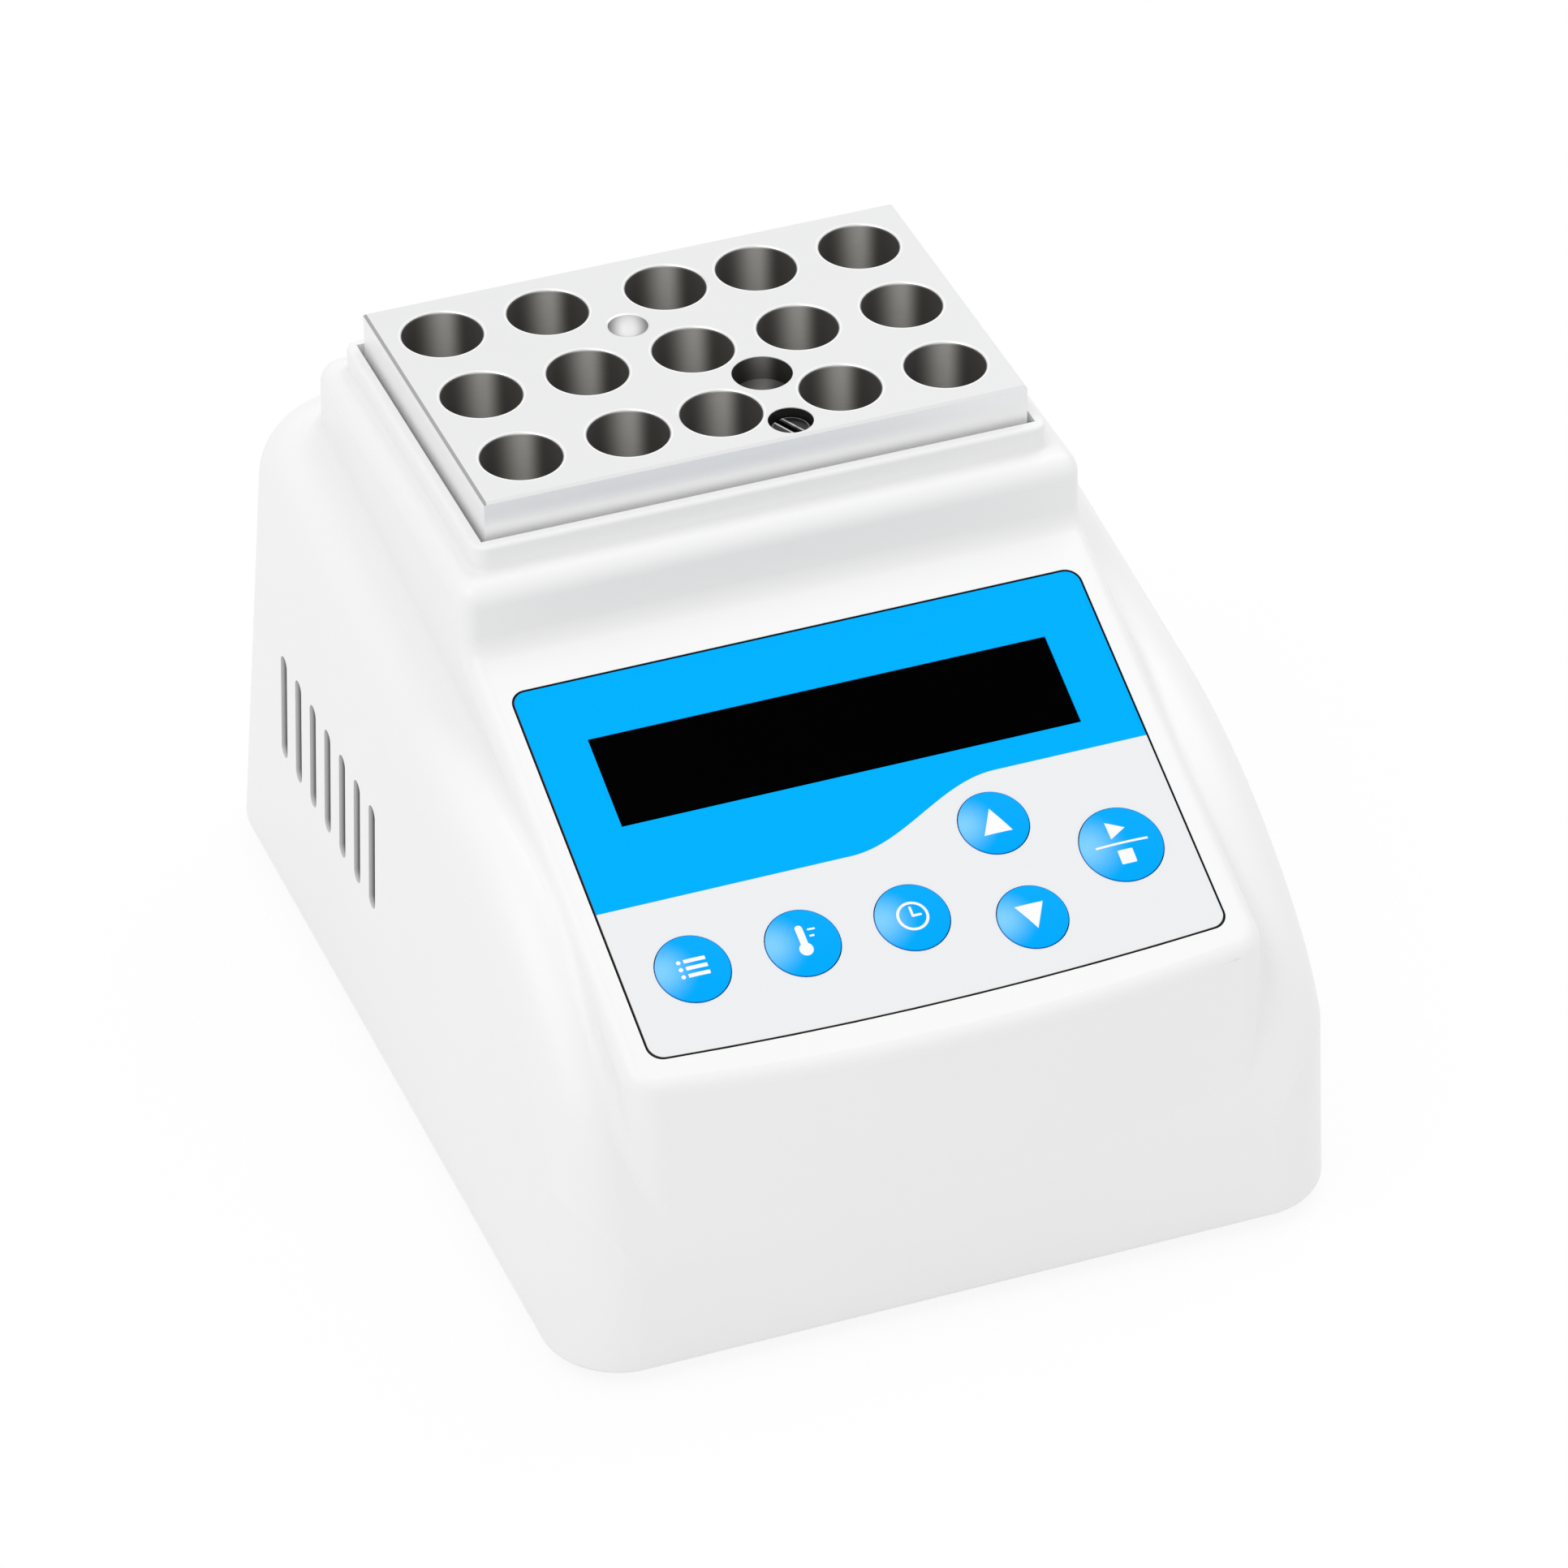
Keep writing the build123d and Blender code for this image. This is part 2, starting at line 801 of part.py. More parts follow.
# hexagonal pillar with a threaded bore in each end
def pillar(across, height, bore):
    with BuildPart() as post:
        with BuildSketch():
            RegularPolygon(across, hex_sides)
        extrude(amount=height)
        with Locations((0, 0, height), Location((0, 0, 0), (180, 0, 0))):
            Hole(small_hole, depth=bore)
    return post.part


with BuildPart() as carrier_pillars:
    with Locations(upright(pillar_places, base_top)):
        add(pillar(pillar_radius, carrier_bottom - base_top, small_bite + pillar_spare))
save(carrier_pillars, "carrier_pillars")

# carrier plate, bent down along its front and back edges
carrier_half_depth = block_depth / 2 + sleeve_gap + sleeve_wall + carrier_lip
with BuildPart() as carrier_plate:
    with BuildSketch(Plane.YZ.offset(-carrier_half_width)) as bent:
        with Locations((block_y, carrier_top)):
            Rectangle(2 * carrier_half_depth, carrier_bend_drop, align=(Align.CENTER, Align.MAX))
        fillet(bent.vertices().group_by(Axis.Y)[-1], carrier_bend_radius)
        with Locations((block_y, carrier_bottom)):
            Rectangle(
                2 * (carrier_half_depth - carrier_thickness),
                carrier_bend_drop,
                align=(Align.CENTER, Align.MAX),
                mode=Mode.SUBTRACT,
            )
    extrude(amount=2 * carrier_half_width)
    with Locations(upright(pillar_places + spacer_places, carrier_top)):
        Hole(small_hole, depth=2 * carrier_thickness)
save(carrier_plate, "carrier_plate")

with BuildPart() as carrier_screws:
    with Locations(upright(pillar_places, carrier_top)):
        add(round_screw(carrier_thickness + small_bite))
save(carrier_screws, "carrier_screws")

# heater under the block: spacers, pad, film, plate, sleeve
with BuildPart() as heater_spacers:
    with Locations(upright(spacer_places, carrier_top)):
        Cylinder(spacer_radius, plate_bottom - carrier_top, align=(Align.CENTER, Align.CENTER, Align.MIN))
    with Locations(upright(spacer_places, plate_bottom)):
        Hole(small_hole, depth=plate_bottom - carrier_top)
save(heater_spacers, "heater_spacers")

with BuildPart() as heater_screws:
    with Locations(upside_down(spacer_places, carrier_bottom)):
        add(round_screw(plate_bottom - carrier_bottom + small_bite))
save(heater_screws, "heater_screws")

film_width = block_width - 2 * film_margin_x
film_depth = block_depth - 2 * film_margin_y
with BuildPart() as insulation_pad:
    with BuildSketch(Plane.XY.offset(carrier_top)):
        with Locations((0, block_y)):
            Rectangle(film_width, film_depth)
    extrude(amount=pad_thickness)
save(insulation_pad, "insulation_pad")

with BuildPart() as heater_film:
    with BuildSketch(Plane.XY.offset(film_bottom)):
        with Locations((0, block_y)):
            RectangleRounded(film_width, film_depth, film_corner_radius)
    extrude(amount=film_thickness)
save(heater_film, "heater_film")

block_front = block_y - block_depth / 2
plate_middle = plate_bottom + plate_height / 2
sensor_places = [(probe_x, probe_depth), (-probe_x, fuse_depth)]
with BuildPart() as heater_plate:
    with BuildSketch(Plane.XY.offset(plate_bottom)):
        with Locations((0, block_y)):
            Rectangle(block_width, block_depth)
    extrude(amount=plate_height)
    chamfer(heater_plate.edges().filter_by(Axis.Z), block_chamfer)
    with Locations(upside_down(spacer_places, plate_bottom)):
        Hole(small_hole, depth=small_bite + pillar_spare)
    with Locations((screw_x, block_y + screw_y, block_bottom)):
        Hole(shank_radius + shank_fit, depth=shank_reach + shank_spare)
    for x, depth in sensor_places:
        with BuildSketch(Plane.XZ.offset(-block_front)):
            with Locations((x, plate_middle)):
                Circle(probe_radius + probe_fit)
        extrude(amount=-depth - probe_spare, mode=Mode.SUBTRACT)
save(heater_plate, "heater_plate")

with BuildPart() as insulation_sleeve:
    with BuildSketch(Plane.XY.offset(carrier_top)):
        with Locations((0, block_y)):
            RectangleRounded(
                block_width + 2 * (sleeve_gap + sleeve_wall),
                block_depth + 2 * (sleeve_gap + sleeve_wall),
                sleeve_wall,
            )
            Rectangle(block_width + 2 * sleeve_gap, block_depth + 2 * sleeve_gap, mode=Mode.SUBTRACT)
    extrude(amount=sleeve_top - carrier_top)
    with BuildSketch(Plane.XZ.offset(-block_front)):
        for x, depth in sensor_places:
            with Locations((x, plate_middle)):
                Circle(probe_radius + sleeve_hole_fit)
    extrude(amount=2 * (sleeve_gap + sleeve_wall), mode=Mode.SUBTRACT)
save(insulation_sleeve, "insulation_sleeve")


# sensor in the heater plate: rounded tip inside, crimped tail outside
def sensor(x, depth):
    with BuildPart() as rod:
        with BuildSketch(Plane.XZ.offset(-block_front - depth)):
            with Locations((x, plate_middle)):
                Circle(probe_radius)
        extrude(amount=depth + probe_tail)
        fillet(rod.edges().sort_by(Axis.Y)[-1], probe_tip_round)
        with BuildSketch(Plane.XZ.offset(-block_front + probe_tail)):
            with Locations((x, plate_middle)):
                Circle(probe_radius)
                Circle(probe_radius - probe_crimp, mode=Mode.SUBTRACT)
        extrude(amount=-probe_crimp_length, mode=Mode.SUBTRACT)
    return rod


temperature_probe = sensor(*sensor_places[0])
save(temperature_probe, "temperature_probe")

thermal_fuse = sensor(*sensor_places[1])
save(thermal_fuse, "thermal_fuse")

# heating block with its tube wells
with BuildPart() as heating_block:
    with BuildSketch(Plane.XY.offset(block_bottom)):
        with Locations((0, block_y)):
            Rectangle(block_width, block_depth)
    extrude(amount=block_height)
    chamfer(heating_block.faces().sort_by(Axis.Z)[-1].edges(), block_chamfer)
    with Locations(upright(well_grid, block_top)):
        Hole(well_radius, depth=well_depth)
        Cone(
            well_radius,
            well_radius + rim_chamfer,
            rim_chamfer,
            align=(Align.CENTER, Align.CENTER, Align.MAX),
            mode=Mode.SUBTRACT,
        )
    with Locations(upright(well_grid, block_top - well_depth)):
        Cone(
            well_radius - well_cone * tan(radians(well_cone_angle)),
            well_radius,
            well_cone,
            align=(Align.CENTER, Align.CENTER, Align.MAX),
            mode=Mode.SUBTRACT,
        )
    # wide pocket with the mark of the drill point
    with Locations((pocket_x, block_y + pocket_y, block_top)):
        Hole(pocket_radius, depth=pocket_depth)
    with Locations((pocket_x, block_y + pocket_y, block_top - pocket_depth)):
        Cone(
            0,
            pocket_radius,
            pocket_radius * tan(radians(drill_point_angle)),
            align=(Align.CENTER, Align.CENTER, Align.MAX),
            mode=Mode.SUBTRACT,
        )
    # shallow dimple
    with Locations((dimple_x, block_y + dimple_y, block_top)):
        Cone(
            0,
            dimple_radius,
            dimple_depth,
            align=(Align.CENTER, Align.CENTER, Align.MAX),
            mode=Mode.SUBTRACT,
        )
    # counterbored hole of the screw that holds the block down
    with Locations((screw_x, block_y + screw_y, block_top)):
        CounterBoreHole(shank_radius + shank_fit, screw_bore_radius, screw_sink + screw_head_height)
save(heating_block, "heating_block")

with BuildPart() as block_screw:
    with Locations((screw_x, block_y + screw_y, block_top - screw_sink)):
        Cylinder(screw_head_radius, screw_head_height, align=(Align.CENTER, Align.CENTER, Align.MAX))
    chamfer(block_screw.faces().sort_by(Axis.Z)[-1].edges(), screw_edge)
    with Locations((screw_x, block_y + screw_y, block_bottom - shank_reach)):
        Cylinder(
            shank_radius,
            block_height + shank_reach - screw_sink - screw_head_height,
            align=(Align.CENTER, Align.CENTER, Align.MIN),
        )
    with BuildSketch(Plane.XY.offset(block_top - screw_sink)):
        with Locations((screw_x, block_y + screw_y)):
            Rectangle(2 * screw_bore_radius, screw_slot_width, rotation=screw_slot_angle)
    extrude(amount=-screw_slot_depth, mode=Mode.SUBTRACT)
save(block_screw, "block_screw")

# membrane panel in the recess of the console
with BuildPart() as membrane_panel:
    with BuildSketch(console.offset(panel_floor)):
        add(panel_outline(0))
        Rectangle(lens_width + 2 * lens_fit, lens_height + 2 * lens_fit, mode=Mode.SUBTRACT)
        for x, y, radius in keys.values():
            with Locations((x, y)):
                Circle(radius + key_fit, mode=Mode.SUBTRACT)
    extrude(amount=panel_thickness)
save(membrane_panel, "membrane_panel")

# display under the console
with BuildPart() as display_lens:
    with BuildSketch(console.offset(lens_flange_top)):
        Rectangle(lens_width, lens_height)
    extrude(amount=panel_face - lens_flange_top)
    with BuildSketch(console.offset(lens_flange_top)):
        Rectangle(lens_width + 2 * lens_flange, lens_height + 2 * lens_flange)
    extrude(amount=-lens_flange_thickness)
save(display_lens, "display_lens")

with BuildPart() as display_bezel:
    with BuildSketch(console.offset(bezel_top)):
        Rectangle(bezel_width, bezel_height)
    extrude(amount=-bezel_thickness)
    with BuildSketch(console.offset(bezel_top - bezel_wall)):
        Rectangle(bezel_width - 2 * bezel_wall, bezel_height - 2 * bezel_wall)
    extrude(amount=-bezel_thickness, mode=Mode.SUBTRACT)
    with BuildSketch(console.offset(bezel_top)):
        Rectangle(lens_width, lens_height)
    extrude(amount=-bezel_thickness, mode=Mode.SUBTRACT)
save(display_bezel, "display_bezel")

glass_width = bezel_width - 2 * (bezel_wall + glass_fit)
glass_height = bezel_height - 2 * (bezel_wall + glass_fit)
with BuildPart() as display_glass:
    with BuildSketch(console.offset(bezel_top - bezel_wall)):
        Rectangle(glass_width, glass_height)
    extrude(amount=-glass_thickness)
save(display_glass, "display_glass")

with BuildPart() as display_backlight:
    with BuildSketch(console.offset(display_board_top)):
        RectangleRounded(glass_width, glass_height, backlight_corner_radius)
    extrude(amount=bezel_thickness - bezel_wall - glass_thickness)
save(display_backlight, "display_backlight")

with BuildPart() as display_board:
    with BuildSketch(console.offset(display_board_top)):
        with Locations((0, display_board_rise)):
            Rectangle(display_board_width, display_board_height)
        with Locations(display_places):
            Circle(small_hole, mode=Mode.SUBTRACT)
    extrude(amount=-board_thickness)
save(display_board, "display_board")

with BuildPart(console) as display_screws:
    with Locations(upside_down(display_places, display_board_top - board_thickness)):
        add(round_screw(board_thickness + board_bite - board_screw_spare))
save(display_screws, "display_screws")

# keypad board with its switches
with BuildPart() as keypad_board:
    with BuildSketch(console.offset(keypad_board_top)):
        with Locations((0, keypad_top)):
            Rectangle(2 * keypad_half_width, keypad_top - keypad_bottom, align=(Align.CENTER, Align.MAX))
        with Locations(keypad_places):
            Circle(small_hole, mode=Mode.SUBTRACT)
    extrude(amount=-board_thickness)
save(keypad_board, "keypad_board")

with BuildPart(console) as keypad_screws:
    with Locations(upside_down(keypad_places, keypad_board_top - board_thickness)):
        add(round_screw(board_thickness + board_bite - board_screw_spare))
save(keypad_screws, "keypad_screws")

with BuildPart() as key_switches:
    with BuildSketch(console.offset(keypad_board_top)):
        for x, y, radius in keys.values():
            with Locations((x, y)):
                RectangleRounded(switch_width, switch_width, switch_corner_radius)
    extrude(amount=switch_height)
    with BuildSketch(console.offset(switch_top)):
        for x, y, radius in keys.values():
            with Locations((x, y)):
                Circle(plunger_radius + plunger_fit)
    extrude(amount=plunger_show - plunger_length - 2 * key_travel, mode=Mode.SUBTRACT)
save(key_switches, "key_switches")


def key_cap(radius):
    """Domed cap along Z, with the console face at height 0 and a flange under the housing wall."""
    edge_height = panel_face + key_edge_lift
    with BuildPart() as cap:
        with BuildSketch(Plane.XZ):
            with BuildLine():
                dome = TangentArc((0, edge_height + key_dome), (radius, edge_height), tangent=(1, 0))
                Polyline(
                    dome @ 1,
                    (radius, -wall),
                    (radius + key_flange, -wall),
                    (radius + key_flange, flange_bottom),
                    (stem_radius, flange_bottom),
                    (stem_radius, plunger_top),
                    (0, plunger_top),
                    dome @ 0,
                )
            make_face()
        revolve(axis=Axis.Z)
    return cap.part


# six keys, each over the plunger of its switch
for name, (x, y, radius) in keys.items():
    with BuildPart(console) as key:
        with Locations((x, y)):
            add(key_cap(radius))
    save(key, f"{name}_key")
    with BuildPart(console) as plunger:
        with Locations((x, y, plunger_top)):
            Cylinder(plunger_radius, plunger_length, align=(Align.CENTER, Align.CENTER, Align.MAX))
    save(plunger, f"{name}_plunger")

# control board on the base plate
control_width = 2 * control_half_width
control_depth = control_back - control_front
with BuildPart() as control_board:
    with BuildSketch(Plane.XY.offset(control_board_bottom)):
        with Locations((0, control_back)):
            Rectangle(control_width, control_depth, align=(Align.CENTER, Align.MAX))
        with Locations(control_places):
            Circle(small_hole, mode=Mode.SUBTRACT)
    extrude(amount=board_thickness)
save(control_board, "control_board")

with BuildPart() as board_standoffs:
    with Locations(upright(control_places, base_top)):
        Cylinder(spigot_radius, base_thickness, align=(Align.CENTER, Align.CENTER, Align.MAX))
    with BuildSketch(Plane.XY.offset(base_top)):
        with Locations(control_places):
            RegularPolygon(standoff_radius, hex_sides)
    extrude(amount=standoff_height)
    with Locations(upright(control_places, control_board_bottom)):
        Hole(small_hole, depth=small_bite + pillar_spare)
save(board_standoffs, "board_standoffs")

with BuildPart() as board_screws:
    with Locations(upright(control_places, control_board_top)):
        add(round_screw(board_thickness + small_bite))
save(board_screws, "board_screws")

with BuildPart() as controller_chip:
    with BuildSketch(Plane.XY.offset(control_board_top)):
        with Locations((chip_x, chip_y)):
            Rectangle(chip_width, chip_width)
    extrude(amount=chip_height)
    chamfer(controller_chip.faces().sort_by(Axis.Z)[-1].edges(), chip_edge)
    for turn in range(2):
        with BuildSketch(Plane.XY.offset(control_board_top)):
            with Locations(Location((chip_x, chip_y), turn * 90)):
                with GridLocations(leg_pitch, 1, leg_count, 1):
                    Rectangle(leg_width, chip_width + 2 * leg_reach)
        extrude(amount=leg_height)
save(controller_chip, "controller_chip")

with BuildPart() as heat_sink:
    with BuildSketch(Plane.XY.offset(control_board_top)):
        with Locations((sink_x, sink_y - sink_depth / 2)):
            Rectangle(sink_width, sink_back, align=(Align.CENTER, Align.MIN))
        with Locations((sink_x, sink_y)):
            with GridLocations((sink_width - fin_thickness) / (sink_fins - 1), 1, sink_fins, 1):
                Rectangle(fin_thickness, sink_depth)
    extrude(amount=sink_height)
save(heat_sink, "heat_sink")

# transistor clamped against the heat sink
tab_plane = Plane.XZ.offset(sink_depth / 2 - sink_y)
transistor_bottom = control_board_top + transistor_leg_length
with BuildPart() as power_transistor:
    with BuildSketch(tab_plane):
        with Locations((sink_x, transistor_bottom)):
            Rectangle(transistor_width, transistor_height, align=(Align.CENTER, Align.MIN))
        with Locations((sink_x, transistor_bottom + transistor_height - tab_hole_margin)):
            Circle(tab_hole_radius, mode=Mode.SUBTRACT)
    extrude(amount=tab_thickness)
    with BuildSketch(tab_plane):
        with Locations((sink_x, transistor_bottom)):
            Rectangle(transistor_width, transistor_body, align=(Align.CENTER, Align.MIN))
    extrude(amount=transistor_depth)
    with BuildSketch(tab_plane.offset(transistor_depth / 2)):
        with Locations((sink_x, control_board_top + transistor_leg_length / 2)):
            with GridLocations(transistor_leg_pitch, 1, 3, 1):
                Rectangle(transistor_leg_width, transistor_leg_length)
    extrude(amount=transistor_leg_width)
save(power_transistor, "power_transistor")


def capacitor():
    """Can with a rolled groove near its foot."""
    with BuildPart() as can:
        with BuildSketch(Plane.XZ):
            with BuildLine():
                Polyline(
                    (0, 0),
                    (capacitor_radius, 0),
                    (capacitor_radius, capacitor_groove),
                    (capacitor_radius - groove_depth, capacitor_groove + groove_depth),
                    (capacitor_radius, capacitor_groove + 2 * groove_depth),
                    (capacitor_radius, capacitor_height - capacitor_edge),
                    (capacitor_radius - capacitor_edge, capacitor_height),
                    (0, capacitor_height),
                    close=True,
                )
            make_face()
        revolve(axis=Axis.Z)
    return can.part


with BuildPart() as capacitors:
    with Locations((capacitor_x + capacitor_pitch / 2, capacitor_y, control_board_top)):
        with GridLocations(capacitor_pitch, 1, 2, 1):
            add(capacitor())
save(capacitors, "capacitors")

# screw terminals: wires enter at the front, screws are turned from above
with BuildPart() as terminal_blocks:
    with BuildSketch(Plane.XY.offset(control_board_top)):
        with Locations((terminal_x, terminal_y)):
            with GridLocations(terminal_pitch, 1, 2, 1):
                Rectangle(terminal_width, terminal_depth)
    extrude(amount=terminal_height)
    chamfer(terminal_blocks.edges().group_by(Axis.Z)[-1].filter_by(Axis.X), terminal_edge)
    with BuildSketch(Plane.XY.offset(control_board_top + terminal_height)):
        with Locations((terminal_x, terminal_y)):
            with GridLocations(terminal_pitch, 1, 2, 1):
                with GridLocations(terminal_way_pitch, 1, terminal_ways, 1):
                    Circle(terminal_way_radius)
    extrude(amount=-terminal_screw_depth, mode=Mode.SUBTRACT)
    with BuildSketch(Plane.XZ.offset(terminal_depth / 2 - terminal_y)):
        with Locations((terminal_x, control_board_top + terminal_way_height)):
            with GridLocations(terminal_pitch, 1, 2, 1):
                with GridLocations(terminal_way_pitch, 1, terminal_ways, 1):
                    Circle(terminal_way_radius)
    extrude(amount=-terminal_way_depth, mode=Mode.SUBTRACT)
save(terminal_blocks, "terminal_blocks")

with BuildPart() as buzzer:
    with Locations((buzzer_x, buzzer_y, control_board_top)):
        Cylinder(buzzer_radius, buzzer_height, align=(Align.CENTER, Align.CENTER, Align.MIN))
    fillet(buzzer.faces().sort_by(Axis.Z)[-1].edges(), buzzer_edge)
    with Locations((buzzer_x, buzzer_y, control_board_top + buzzer_height)):
        Hole(buzzer_hole, depth=buzzer_hole_depth)
save(buzzer, "buzzer")

# power switch in the back wall: hollow body with a bezel, snapped in behind the wall
body_width = switch_opening_width - 2 * switch_fit
body_height = switch_opening_height - 2 * switch_fit
pocket_width = body_width - 2 * switch_wall
pocket_height = body_height - 2 * switch_wall
back_wall_depth = wall * cos(radians(back_draft))
pocket_floor = -rocker_pivot_depth - rocker_root - rocker_gap
pin_line = rocker_plane.offset(-rocker_pivot_depth)
pin_plane = Plane(origin=pin_line.origin, x_dir=pin_line.y_dir, z_dir=pin_line.x_dir)
with BuildPart() as power_switch_body:
    with BuildSketch(rocker_plane):
        Rectangle(body_width, body_height)
    extrude(amount=-switch_body_depth)
    with BuildSketch(rocker_plane):
        RectangleRounded(switch_bezel_width, switch_bezel_height, switch_corner)
    extrude(amount=switch_bezel_thickness)
    fillet(power_switch_body.faces().sort_by(Axis.Y)[-1].outer_wire().edges(), switch_bezel_edge)
    with BuildSketch(rocker_plane.offset(switch_bezel_thickness)):
        Rectangle(pocket_width, pocket_height)
    extrude(amount=pocket_floor - switch_bezel_thickness, mode=Mode.SUBTRACT)
    # snap ridges above and below, just behind the wall
    with BuildSketch(Plane(origin=rocker_plane.origin, x_dir=rocker_plane.z_dir, z_dir=rocker_plane.x_dir)):
        for side in (-1, 1):
            with BuildLine():
                Polyline(
                    (-back_wall_depth - snap_fit, side * body_height / 2),
                    (-back_wall_depth - snap_fit, side * (body_height / 2 + snap_height)),
                    (-back_wall_depth - snap_length, side * body_height / 2),
                    close=True,
                )
            make_face()
    extrude(amount=snap_width / 2, both=True)
    # bore of the rocker's pin
    with BuildSketch(pin_plane):
        Circle(rocker_pin_radius + rocker_pin_fit)
    extrude(amount=rocker_pin_length / 2, both=True, mode=Mode.SUBTRACT)
save(power_switch_body, "power_switch_body")

with BuildPart() as rocker_pin:
    with BuildSketch(pin_plane):
        Circle(rocker_pin_radius)
    extrude(amount=rocker_pin_length / 2 - rocker_pin_fit, both=True)
save(rocker_pin, "rocker_pin")

# rocker with a hollow top, a hub on the pin, and its upper half pressed in
with BuildPart() as power_rocker:
    with BuildSketch(Plane(pin_plane.location * Location((0, 0), -rocker_swing / 2))):
        with BuildLine():
            face = ThreePointArc(
                (-rocker_half_height, rocker_end_height),
                (0, rocker_middle_height),
                (rocker_half_height, rocker_end_height),
            )
            right = Polyline(face @ 1, (rocker_half_height, rocker_shoulder), (rocker_root, 0))
            hub = ThreePointArc(right @ 1, (0, -rocker_root), (-rocker_root, 0))
            Polyline(hub @ 1, (-rocker_half_height, rocker_shoulder), face @ 0)
        make_face()
        Circle(rocker_pin_radius + rocker_pin_fit, mode=Mode.SUBTRACT)
    extrude(amount=pocket_width / 2 - rocker_gap, both=True)
save(power_rocker, "power_rocker")

with BuildPart() as switch_terminals:
    with BuildSketch(rocker_plane.offset(-switch_body_depth)):
        with GridLocations(1, terminal_blade_pitch, 1, 2):
            Rectangle(terminal_blade_width, terminal_blade_thickness)
    extrude(amount=-terminal_blade_length)
save(switch_terminals, "switch_terminals")

# power inlet through the back wall, held by a nut inside
with BuildPart() as power_inlet:
    with BuildSketch(inlet_plane):
        Circle(inlet_radius)
    extrude(amount=-inlet_body_depth)
    with BuildSketch(inlet_plane):
        Circle(inlet_flange_radius)
    extrude(amount=inlet_flange_thickness)
    fillet(power_inlet.edges().sort_by(Axis.Y)[-1], inlet_edge)
    with BuildSketch(inlet_plane.offset(inlet_flange_thickness)):
        Circle(inlet_bore_radius)
    extrude(amount=-inlet_bore_depth, mode=Mode.SUBTRACT)
    with BuildSketch(inlet_plane.offset(inlet_flange_thickness)):
        Circle(inlet_pin_radius + inlet_pin_fit)
    extrude(amount=-inlet_bore_depth - inlet_pin_root, mode=Mode.SUBTRACT)
save(power_inlet, "power_inlet")

with BuildPart() as inlet_pin:
    with BuildSketch(inlet_plane.offset(inlet_flange_thickness - inlet_pin_recess)):
        Circle(inlet_pin_radius)
    extrude(amount=inlet_pin_recess - inlet_bore_depth - inlet_pin_root)
    fillet(inlet_pin.edges().sort_by(Axis.Y)[-1], inlet_pin_round)
save(inlet_pin, "inlet_pin")

with BuildPart() as inlet_nut:
    with BuildSketch(inlet_plane.offset(-back_wall_depth)):
        RegularPolygon(inlet_nut_radius, hex_sides)
        Circle(inlet_radius + inlet_fit, mode=Mode.SUBTRACT)
    extrude(amount=-inlet_nut_thickness)
save(inlet_nut, "inlet_nut")
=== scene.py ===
import bpy
import math
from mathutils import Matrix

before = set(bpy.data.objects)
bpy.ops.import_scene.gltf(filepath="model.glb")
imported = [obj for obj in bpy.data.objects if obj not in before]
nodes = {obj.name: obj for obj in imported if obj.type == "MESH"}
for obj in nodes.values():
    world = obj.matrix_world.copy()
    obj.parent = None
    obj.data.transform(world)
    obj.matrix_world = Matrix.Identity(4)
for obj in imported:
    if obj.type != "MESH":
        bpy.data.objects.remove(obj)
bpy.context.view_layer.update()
print("frame:", len(nodes), "nodes")


# camera, where the photographer stood
camera = {
    "place": (-0.34211, -0.91962, 0.74219),
    "turn": (54.240, 0.426, -20.880),  # degrees
    "lens": 203.45, "sensor": 36.0, "near": 0.01, "far": 20.0,
}

cameraData = bpy.data.cameras.new("camera")
cameraData.lens = camera["lens"]
cameraData.sensor_width = camera["sensor"]
cameraData.clip_start = camera["near"]
cameraData.clip_end = camera["far"]
cameraObject = bpy.data.objects.new("camera", cameraData)
cameraObject.location = camera["place"]
cameraObject.rotation_euler = [math.radians(angle) for angle in camera["turn"]]
bpy.context.collection.objects.link(cameraObject)
bpy.context.scene.camera = cameraObject
print("camera placed")


# small helpers for material nodes
def startMaterial(name):
    material = bpy.data.materials.new(name)
    material.use_nodes = True
    tree = material.node_tree
    tree.nodes.clear()
    output = tree.nodes.new("ShaderNodeOutputMaterial")
    shader = tree.nodes.new("ShaderNodeBsdfPrincipled")
    tree.links.new(shader.outputs["BSDF"], output.inputs["Surface"])
    place = tree.nodes.new("ShaderNodeTexCoord")
    return material, tree, shader, place.outputs["Object"]


def fillSocket(tree, socket, value):
    if isinstance(value, bpy.types.NodeSocket):
        tree.links.new(value, socket)
    else:
        socket.default_value = value


def addNode(tree, kind, settings=None, inputs=None):
    node = tree.nodes.new(kind)
    for key, value in (settings or {}).items():
        setattr(node, key, value)
    for key, value in (inputs or {}).items():
        fillSocket(tree, node.inputs[key], value)
    return node


def doMath(tree, operation, first, second=None, third=None):
    node = addNode(tree, "ShaderNodeMath", {"operation": operation})
    for socket, value in zip(node.inputs, (first, second, third)):
        if value is not None:
            fillSocket(tree, socket, value)
    return node.outputs[0]


# sums on arrows whose answer is an arrow
def doVector(tree, operation, first, second=None):
    node = addNode(tree, "ShaderNodeVectorMath", {"operation": operation}, {0: first})
    if second is not None:
        fillSocket(tree, node.inputs[1], second)
    return node.outputs["Vector"]


# a length along an arrow, or between two places
def doLength(tree, operation, first, second):
    node = addNode(tree, "ShaderNodeVectorMath", {"operation": operation}, {0: first, 1: second})
    return node.outputs["Value"]


# soft step from 0 to 1 between two values, or from 1 to 0 where the first is the larger
def softStep(tree, value, start, end):
    node = addNode(tree, "ShaderNodeMapRange", {"interpolation_type": "SMOOTHSTEP"}, {
        "Value": value, "From Min": min(start, end), "From Max": max(start, end),
        "To Min": float(start > end), "To Max": float(start < end)})
    return node.outputs[0]


